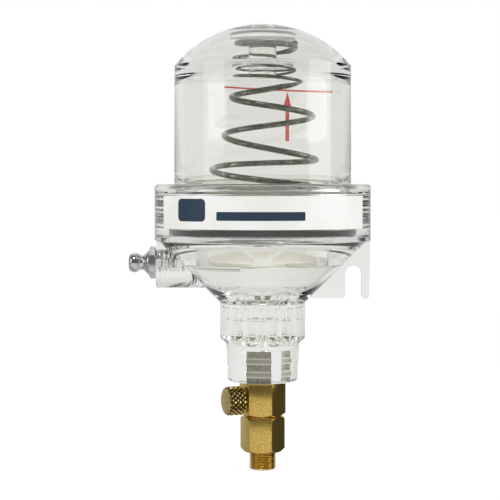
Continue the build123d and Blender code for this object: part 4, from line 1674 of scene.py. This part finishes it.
@dataclass
class MainSpring:
    """The conical steel spring, as it stands between the dome and the piston."""

    wire_radius: float = 1.08
    steps: int = 360
    sides: int = 20
    keys: list[Box] = field(
        default_factory=lambda: [
            (-1.5, 145.85, 10.5, 1.2),
            (-1.0, 145.6, 10.5, 1.2),
            (-0.75, 145.2, 10.5, 1.2),
            (-0.5, 144.0, 10.5, 1.2),
            (-0.25, 141.0, 10.7, 1.5),
            (0.0, 139.0, 11.6, 1.7),
            (0.25, 136.9, 11.9, 1.6),
            (0.5, 134.3, 12.1, 1.5),
            (1.0, 128.0, 13.2, 2.0),
            (1.5, 120.9, 15.6, 2.6),
            (2.0, 114.1, 16.5, 2.6),
            (2.5, 104.9, 17.6, 1.9),
            (3.0, 101.8, 20.0, 1.8),
            (3.36, 96.66, 24.5, 0.0),
        ]
    )

    def value(self, turn: float, column: int) -> float:
        """Give the height or radius at a count of turns.

        Args:
            turn: Turns down from the left side of the top coil.
            column: 1 for the height, 2 for the radius and 3 for the shift along X.

        Returns:
            A smooth value through the key points, in millimetres.
        """
        keys = self.keys
        index = max(0, min(len(keys) - 2, sum(1 for key in keys if key[0] <= turn) - 1))
        low, high = keys[index], keys[index + 1]
        span = high[0] - low[0]
        share = (turn - low[0]) / span

        def slope(at: int) -> float:
            """Give the slope of the line at a key."""
            before, after = keys[max(at - 1, 0)], keys[min(at + 1, len(keys) - 1)]
            return (after[column] - before[column]) / (after[0] - before[0])

        start, end = slope(index) * span, slope(index + 1) * span
        cube, square = share**3, share**2
        return (
            (2 * cube - 3 * square + 1) * low[column]
            + (cube - 2 * square + share) * start
            + (3 * square - 2 * cube) * high[column]
            + (cube - square) * end
        )

    def build(self, steel: Material) -> Piece:
        """Make the spring.

        Args:
            steel: Its material.

        Returns:
            The new object.
        """
        first, last = self.keys[0][0], self.keys[-1][0]
        points = []
        for step in range(self.steps + 1):
            turn = first + (last - first) * step / self.steps
            height, radius, bow = (self.value(turn, column) for column in (1, 2, 3))
            angle = math.pi + 2 * math.pi * turn
            points.append(Vector((radius * math.cos(angle) + bow, radius * math.sin(angle), height)) * MM)
        mesh = bpy.data.meshes.new("wire_line")
        mesh.from_pydata(points, [(k, k + 1) for k in range(self.steps)], [])
        sizes = {"Wire radius": self.wire_radius * MM, "Sides": self.sides}
        piece = wire_recipe(steel).run("main_spring_wire", sizes, mesh)
        clean(piece.data)
        shade(piece.data, 60)
        return piece


@dataclass
class Nipple:
    """The zinc-plated hexagonal grease nipple."""

    axis: float = 69.0
    boss_end: float = 38.6
    flats: float = 10.2
    hex_length: float = 2.7
    mouth_radius: float = 2.6
    length: float = 7.3
    shank_radius: float = 3.9
    shank_length: float = 7.5
    bore_radius: float = 1.5
    seat_radius: float = 1.0
    pitch: float = 1.5
    shank_teeth: int = 3
    waist: Section = field(
        default_factory=lambda: [
            (4.5, -0.1),
            (4.35, 0.3),
            (3.75, 0.95),
            (3.1, 1.6),
            (2.72, 2.1),
            (2.6, 2.55),
            (2.72, 3.0),
            (3.0, 3.45),
            (3.35, 4.1),
            (3.56, 4.7),
            (3.6, 5.25),
            (3.55, 5.8),
            (3.36, 6.35),
            (3.05, 6.9),
        ]
    )

    def build(self, steel: Material) -> Piece:
        """Make the nipple's body.

        Args:
            steel: Its material.

        Returns:
            The new object.
        """
        foot, face = self.boss_end, self.boss_end + self.hex_length
        mouth, end = face + self.length, foot - self.shank_length
        shank, pitch = self.shank_radius, self.pitch
        first, last = end + 0.5, end + 0.5 + self.shank_teeth * pitch
        corners = [(self.bore_radius, end, 0.0), (shank - 0.5, end, 0.1)]
        corners += teeth((shank - 0.38, shank), first, pitch, self.shank_teeth, (0.1, 0.12))
        corners += [(shank - 0.3, last, 0.1), (shank, last + 0.4, 0.1), (shank, foot + 0.2, 0.0)]
        section = softened(corners, 2)
        section += [(radius, face + rise) for radius, rise in self.waist]
        section += [(self.mouth_radius, mouth - 0.08), (self.mouth_radius - 0.3, mouth)]
        section += [(self.seat_radius, mouth), (self.seat_radius, mouth - 1.3), (self.bore_radius, mouth - 1.3)]
        piece = turned("nipple_dressed", section, 96, sideways(self.axis), 35)
        shape = Hexagon(self.flats, foot, face, 30.0, True, True, 0.25, 30.0, 0.12)
        hexagonal = shape.build("nipple_hex", sideways(self.axis))
        gather(piece, [hexagonal])
        dress(piece, steel)
        shade(piece.data, 35)
        return piece


@dataclass
class FillMark:
    """The red fill line and arrow printed on the back of the dome."""

    radius: float = 32.14
    line_from: float = -15.9
    line_to: float = 29.8
    line_z: float = 132.4
    line_fall: float = 2.4
    line_height: float = 0.7
    arrow_x: float = 10.6
    arrow_foot: float = 111.4
    arrow_top: float = 130.9
    shaft: float = 1.6
    head: float = 3.4
    head_length: float = 6.2
    arrow_steps: int = 24
    line_steps: int = 48

    def build(self, ink: Material) -> Piece:
        """Make the print as thin ink on the dome's outside.

        Args:
            ink: Its material.

        Returns:
            The new object.
        """
        verts: list[Vector] = []
        faces: list[tuple[int, ...]] = []
        neck = self.arrow_top - self.head_length
        for step in range(self.arrow_steps + 1):
            height = self.arrow_foot + (self.arrow_top - self.arrow_foot) * step / self.arrow_steps
            half = self.shaft / 2 if height < neck else self.head / 2 * (self.arrow_top - height) / self.head_length
            left, right = self.arrow_x - max(half, 0.02), self.arrow_x + max(half, 0.02)
            verts += [self.on_dome(left + (right - left) * across / 4, height) for across in range(5)]
            if step:
                base = 5 * step
                faces += [(base - 5 + k, base - 4 + k, base + 1 + k, base + k) for k in range(4)]
        start = len(verts)
        for step in range(self.line_steps + 1):
            across = self.line_from + (self.line_to - self.line_from) * step / self.line_steps
            height = self.line_z - self.line_fall * step / self.line_steps
            verts += [self.on_dome(across, height), self.on_dome(across, height + self.line_height)]
            if step:
                base = start + 2 * step
                faces.append((base - 2, base, base + 1, base - 1))
        mesh = bpy.data.meshes.new("fill_mark")
        mesh.from_pydata([vert * MM for vert in verts], [], faces)
        mesh.materials.append(ink)
        clean(mesh)
        shade(mesh, 60)
        return new_object("fill_mark", mesh)

    def on_dome(self, across: float, height: float) -> Vector:
        """Give the point on the back of the dome at a width and a height."""
        return Vector((across, math.sqrt(self.radius**2 - across**2), height))


@dataclass
class Studio:
    """Floor, world, soft boxes and camera.

    Clear plastic and metal look at the room through these rings of tones, which
    go once round the object from behind over the left, the front and the right:
    "room" is what is mirrored, "behind" what is seen through clear pieces, and
    "table" what is mirrored near the object's foot.
    """

    floor: float = -6.6
    floor_reach: float = 4.0
    paper: str = "#f4f4f4"
    lift: float = 0.75
    lift_strength: float = 1.1
    table_ends: Point = (0.5, 1.2)
    white: float = 0.86
    fill: float = 2.2
    lens_mm: float = 103.3
    sensor_mm: float = 36.0
    camera_place: Corner = (-0.00459, -0.522, 0.0972)
    camera_fall: float = 65 / 1435
    overhead: Stops = field(
        default_factory=lambda: [(0.25, "#e9e9e6"), (0.47, WHITE), (0.55, WHITE), (0.82, "#ececec")]
    )
    room: Stops = field(
        default_factory=lambda: [
            (0.0, WHITE),
            (0.12, "#dcdcdc"),
            (0.2, "#8c8c8c"),
            (0.34, "#606060"),
            (0.5, "#7a7a7a"),
            (0.66, "#606060"),
            (0.76, "#454545"),
            (0.84, "#454545"),
            (0.92, "#d0d0d0"),
            (1.0, WHITE),
        ]
    )
    behind: Stops = field(
        default_factory=lambda: [
            (0.0, WHITE),
            (0.22, WHITE),
            (0.4, "#a8a8a8"),
            (0.6, "#a8a8a8"),
            (0.78, WHITE),
            (1.0, WHITE),
        ]
    )
    table: Stops = field(
        default_factory=lambda: [
            (0.0, WHITE),
            (0.13, "#c8c8c8"),
            (0.25, "#a0a0a0"),
            (0.38, "#e4e4e4"),
            (0.5, "#fafafa"),
            (0.62, "#d8d8d8"),
            (0.73, "#606060"),
            (0.78, "#525252"),
            (0.84, "#525252"),
            (0.92, "#d0d0d0"),
            (1.0, WHITE),
        ]
    )

    def build(self) -> None:
        """Build the whole stage."""
        self.build_floor()
        self.build_world()
        self.soft_box("box_right", (0.60, -0.13, 0.30), (0.40, 0.45), 1.7, 0.30)
        self.soft_box("box_left", (-0.56, -0.26, 0.30), (0.34, 0.45), 0.9, 0.30)
        self.soft_box("box_top", (-0.12, -0.34, 0.62), (0.30, 0.20), 2.8, 0.11)
        self.build_camera()

    def around(self, tree: Tree, place: Socket, tones: Stops) -> Node:
        """Give a tone by the direction round the object, from behind over the left to behind.

        Args:
            tree: The node tree.
            place: Socket with a direction or a place.
            tones: Positions from 0 to 1 once round, with their colours.

        Returns:
            The node that gives the colour.
        """
        axes = add_node(tree, Kind.AXES, None, {0: place}).outputs
        front = add_node(tree, Kind.MATH, {"operation": "MULTIPLY"}, {0: axes["Y"], 1: -1.0})
        turn = add_node(tree, Kind.MATH, {"operation": "ARCTAN2"}, {0: axes["X"], 1: front})
        share = add_node(tree, Kind.RANGE, None, {"Value": turn, "From Min": -math.pi, "From Max": math.pi})
        return add_node(tree, Kind.RAMP, {"stops": tones}, {0: share})

    def filled(self, tree: Tree) -> Node:
        """Give a strength that is higher for light on its way to matt pieces behind clear plastic.

        Args:
            tree: The node tree.

        Returns:
            The node that gives the strength.
        """
        path = add_node(tree, Kind.LIGHT_PATH)
        matt = path.outputs["Diffuse Depth"]
        return add_node(tree, Kind.RANGE, None, {"Value": matt, "To Min": self.white, "To Max": self.white * self.fill})

    def choose(self, tree: Tree, ray: str, other: Node, chosen: Node) -> Node:
        """Show one shader to one kind of ray and another to the rest.

        Args:
            tree: The node tree.
            ray: Name of the ray's output on the light path node.
            other: What all other rays see.
            chosen: What these rays see.

        Returns:
            The node that mixes the two.
        """
        path = add_node(tree, Kind.LIGHT_PATH)
        return add_node(tree, Kind.MIX_SHADER, None, {0: path.outputs[ray], 1: other, 2: chosen})

    def build_floor(self) -> None:
        """Make the plain pale floor, which the camera sees as white with a soft shadow."""
        reach, height = self.floor_reach, self.floor * MM
        corners = [(-reach, -reach, height), (reach, -reach, height), (reach, reach, height), (-reach, reach, height)]
        mesh = bpy.data.meshes.new("floor")
        mesh.from_pydata(corners, [], [(0, 1, 2, 3)])
        piece = new_object("floor", mesh)
        material, tree, paper, place = start_material(
            "floor_paper", {"Base Color": linear(self.paper), "Roughness": 0.9}
        )
        white = linear(WHITE)
        glow = add_node(tree, Kind.EMISSION, None, {"Color": white, "Strength": self.lift_strength})
        lifted = add_node(tree, Kind.MIX_SHADER, None, {0: self.lift, 1: paper, 2: glow})
        away = add_node(tree, Kind.VECTOR, {"operation": "LENGTH"}, {0: place})
        near, far = self.table_ends
        share = add_node(tree, Kind.RANGE, None, {"Value": away, "From Min": near, "From Max": far})
        table, room = self.around(tree, place, self.table), self.around(tree, place, self.room)
        tone = add_node(tree, Kind.MIX, {"data_type": "RGBA"}, {"Factor": share, "A": table, "B": room})
        mirrored = add_node(tree, Kind.EMISSION, None, {"Color": tone, "Strength": self.white})
        through = add_node(tree, Kind.EMISSION, None, {"Color": white, "Strength": self.filled(tree)})
        mix = self.choose(tree, "Is Camera Ray", paper, lifted)
        mix = self.choose(tree, "Is Glossy Ray", mix, mirrored)
        mix = self.choose(tree, "Is Transmission Ray", mix, through)
        feed(tree, tree.nodes["Material Output"], {"Surface": mix})
        mesh.materials.append(material)

    def build_world(self) -> None:
        """Make the studio room: even for matt surfaces, dim round the camera for shiny ones."""
        world = bpy.data.worlds.new("studio")
        bpy.context.scene.world = world
        world.use_nodes = True
        tree = world.node_tree
        white = linear(WHITE)
        way = add_node(tree, Kind.COORDINATES).outputs["Generated"]
        height = add_node(tree, Kind.AXES, None, {0: way}).outputs["Z"]
        tilt = add_node(tree, Kind.RANGE, None, {"Value": height, "From Min": -1.0, "From Max": 1.0})
        above = add_node(tree, Kind.RAMP, {"stops": self.overhead}, {0: tilt})
        tone = add_node(
            tree,
            Kind.MIX,
            {"data_type": "RGBA", "blend_type": "MULTIPLY"},
            {"Factor": 1.0, "A": above, "B": self.around(tree, way, self.behind)},
        )
        room = self.around(tree, way, self.room)
        even = add_node(tree, Kind.BACKGROUND, None, {"Color": white, "Strength": self.white})
        through = add_node(tree, Kind.BACKGROUND, None, {"Color": tone, "Strength": self.filled(tree)})
        mirrored = add_node(tree, Kind.BACKGROUND, None, {"Color": room, "Strength": self.white})
        seen = add_node(tree, Kind.BACKGROUND, None, {"Color": white, "Strength": 1.0})
        mix = self.choose(tree, "Is Glossy Ray", even, mirrored)
        mix = self.choose(tree, "Is Transmission Ray", mix, through)
        mix = self.choose(tree, "Is Camera Ray", mix, seen)
        feed(tree, tree.nodes["World Output"], {"Surface": mix})

    def soft_box(self, name: str, place: Corner, size: Point, radiance: float, target: float) -> None:
        """Hang a soft box that faces the object's axis.

        Args:
            name: Name of the lamp.
            place: Where it hangs, in metres.
            size: Width and height in metres.
            radiance: Brightness of its face, where 1 is a white surface.
            target: Height on the axis that it faces, in metres.
        """
        lamp = bpy.data.lights.new(name, "AREA")
        lamp.shape = "RECTANGLE"
        lamp.size, lamp.size_y = size
        lamp.energy = radiance * math.pi * size[0] * size[1]
        box = new_object(name, lamp)
        box.location = place
        box.rotation_euler = (Vector((0, 0, target)) - Vector(place)).to_track_quat("-Z", "Y").to_euler()
        box.visible_camera = False

    def build_camera(self) -> None:
        """Set the camera in front of the object, a little above its middle and tilted down."""
        lens = bpy.data.cameras.new("camera")
        lens.lens = self.lens_mm
        lens.sensor_width = self.sensor_mm
        camera = new_object("camera", lens)
        camera.location = self.camera_place
        camera.rotation_euler = (math.pi / 2 - math.atan(self.camera_fall), 0, 0)
        bpy.context.scene.camera = camera


@dataclass
class Lubricator:
    """The whole dressed object."""

    frame: dict[str, Any]
    report: Callable[[str], None]

    def add(self, piece: Piece, body: str, slot: Slot, *nodes: str) -> Piece:
        """Let a new piece ride on a body in place of some CAD nodes.

        Args:
            piece: The new piece.
            body: The CAD body it moves with.
            slot: The record's slot, which is not used.
            nodes: The CAD nodes it stands for.

        Returns:
            The piece.
        """
        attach(piece, body)
        if nodes:
            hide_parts(*nodes)
        self.report(f"{piece.name}: {len(piece.data.polygons)} faces on {body}")
        return piece

    def paint(self, node: str, material: Material) -> None:
        """Give a CAD node its finish.

        Args:
            node: The node's name.
            material: The finish.
        """
        materials = self.frame["nodes"][node].data.materials
        if not materials:
            materials.append(material)
        for index in range(len(materials)):
            materials[index] = material
        self.report(f"{node}: painted {material.name}")

    def build(self) -> None:
        """Build every piece and dress the CAD nodes that stay."""
        clear = ClearPolycarbonate().material()
        brass = TurnedBrass().material()
        zinc = PlatedSteel().material()
        wire = SpringWire().material()
        rubber = NitrileRubber().material()
        milky = NaturalPolypropylene().material()
        bowl = Bowl().build()
        dress(bowl, clear)
        self.add(bowl, "reservoir", Slot.CLEAR, "bowl")
        dome = Dome().build()
        dress(dome, clear)
        self.add(dome, "reservoir", Slot.CLEAR, "dome")
        valve = OutletValve()
        self.add(valve.build_adaptor(brass), "reservoir", Slot.BRASS, "outlet_adaptor")
        self.add(valve.build_valve(brass), "reservoir", Slot.BRASS, "valve_body")
        self.add(valve.build_screw(KnurledBrass().material()), "metering_screw", Slot.BRASS, "metering_screw")
        self.add(Nipple().build(zinc), "reservoir", Slot.ZINC, "nipple_body")
        self.add(FillMark().build(PrintInk().material()), "reservoir", Slot.LABEL)
        spring = self.add(MainSpring().build(wire), "reservoir", Slot.SPRING, "main_spring")
        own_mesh(spring)
        self.paint("nipple_ball", zinc)
        self.paint("nipple_spring", wire)
        self.paint("outlet_insert", KnurledInsert().material())
        self.paint("label", LabelVinyl().material())
        for node in ("dome_gasket", "piston_seal", "metering_oring"):
            self.paint(node, rubber)
        self.paint("piston", milky)


def main() -> None:
    """Load the frame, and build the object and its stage."""
    logging.basicConfig(level=logging.INFO, format="%(name)s: %(message)s")
    scene = bpy.context.scene
    scene.view_settings.view_transform = "Standard"
    scene.cycles.max_bounces = scene.cycles.transmission_bounces = CLEAR_BOUNCES
    scene.cycles.glossy_bounces = scene.cycles.diffuse_bounces = OTHER_BOUNCES
    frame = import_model()
    Lubricator(frame, LOG.info).build()
    Studio().build()


if __name__ == "__main__":
    main()
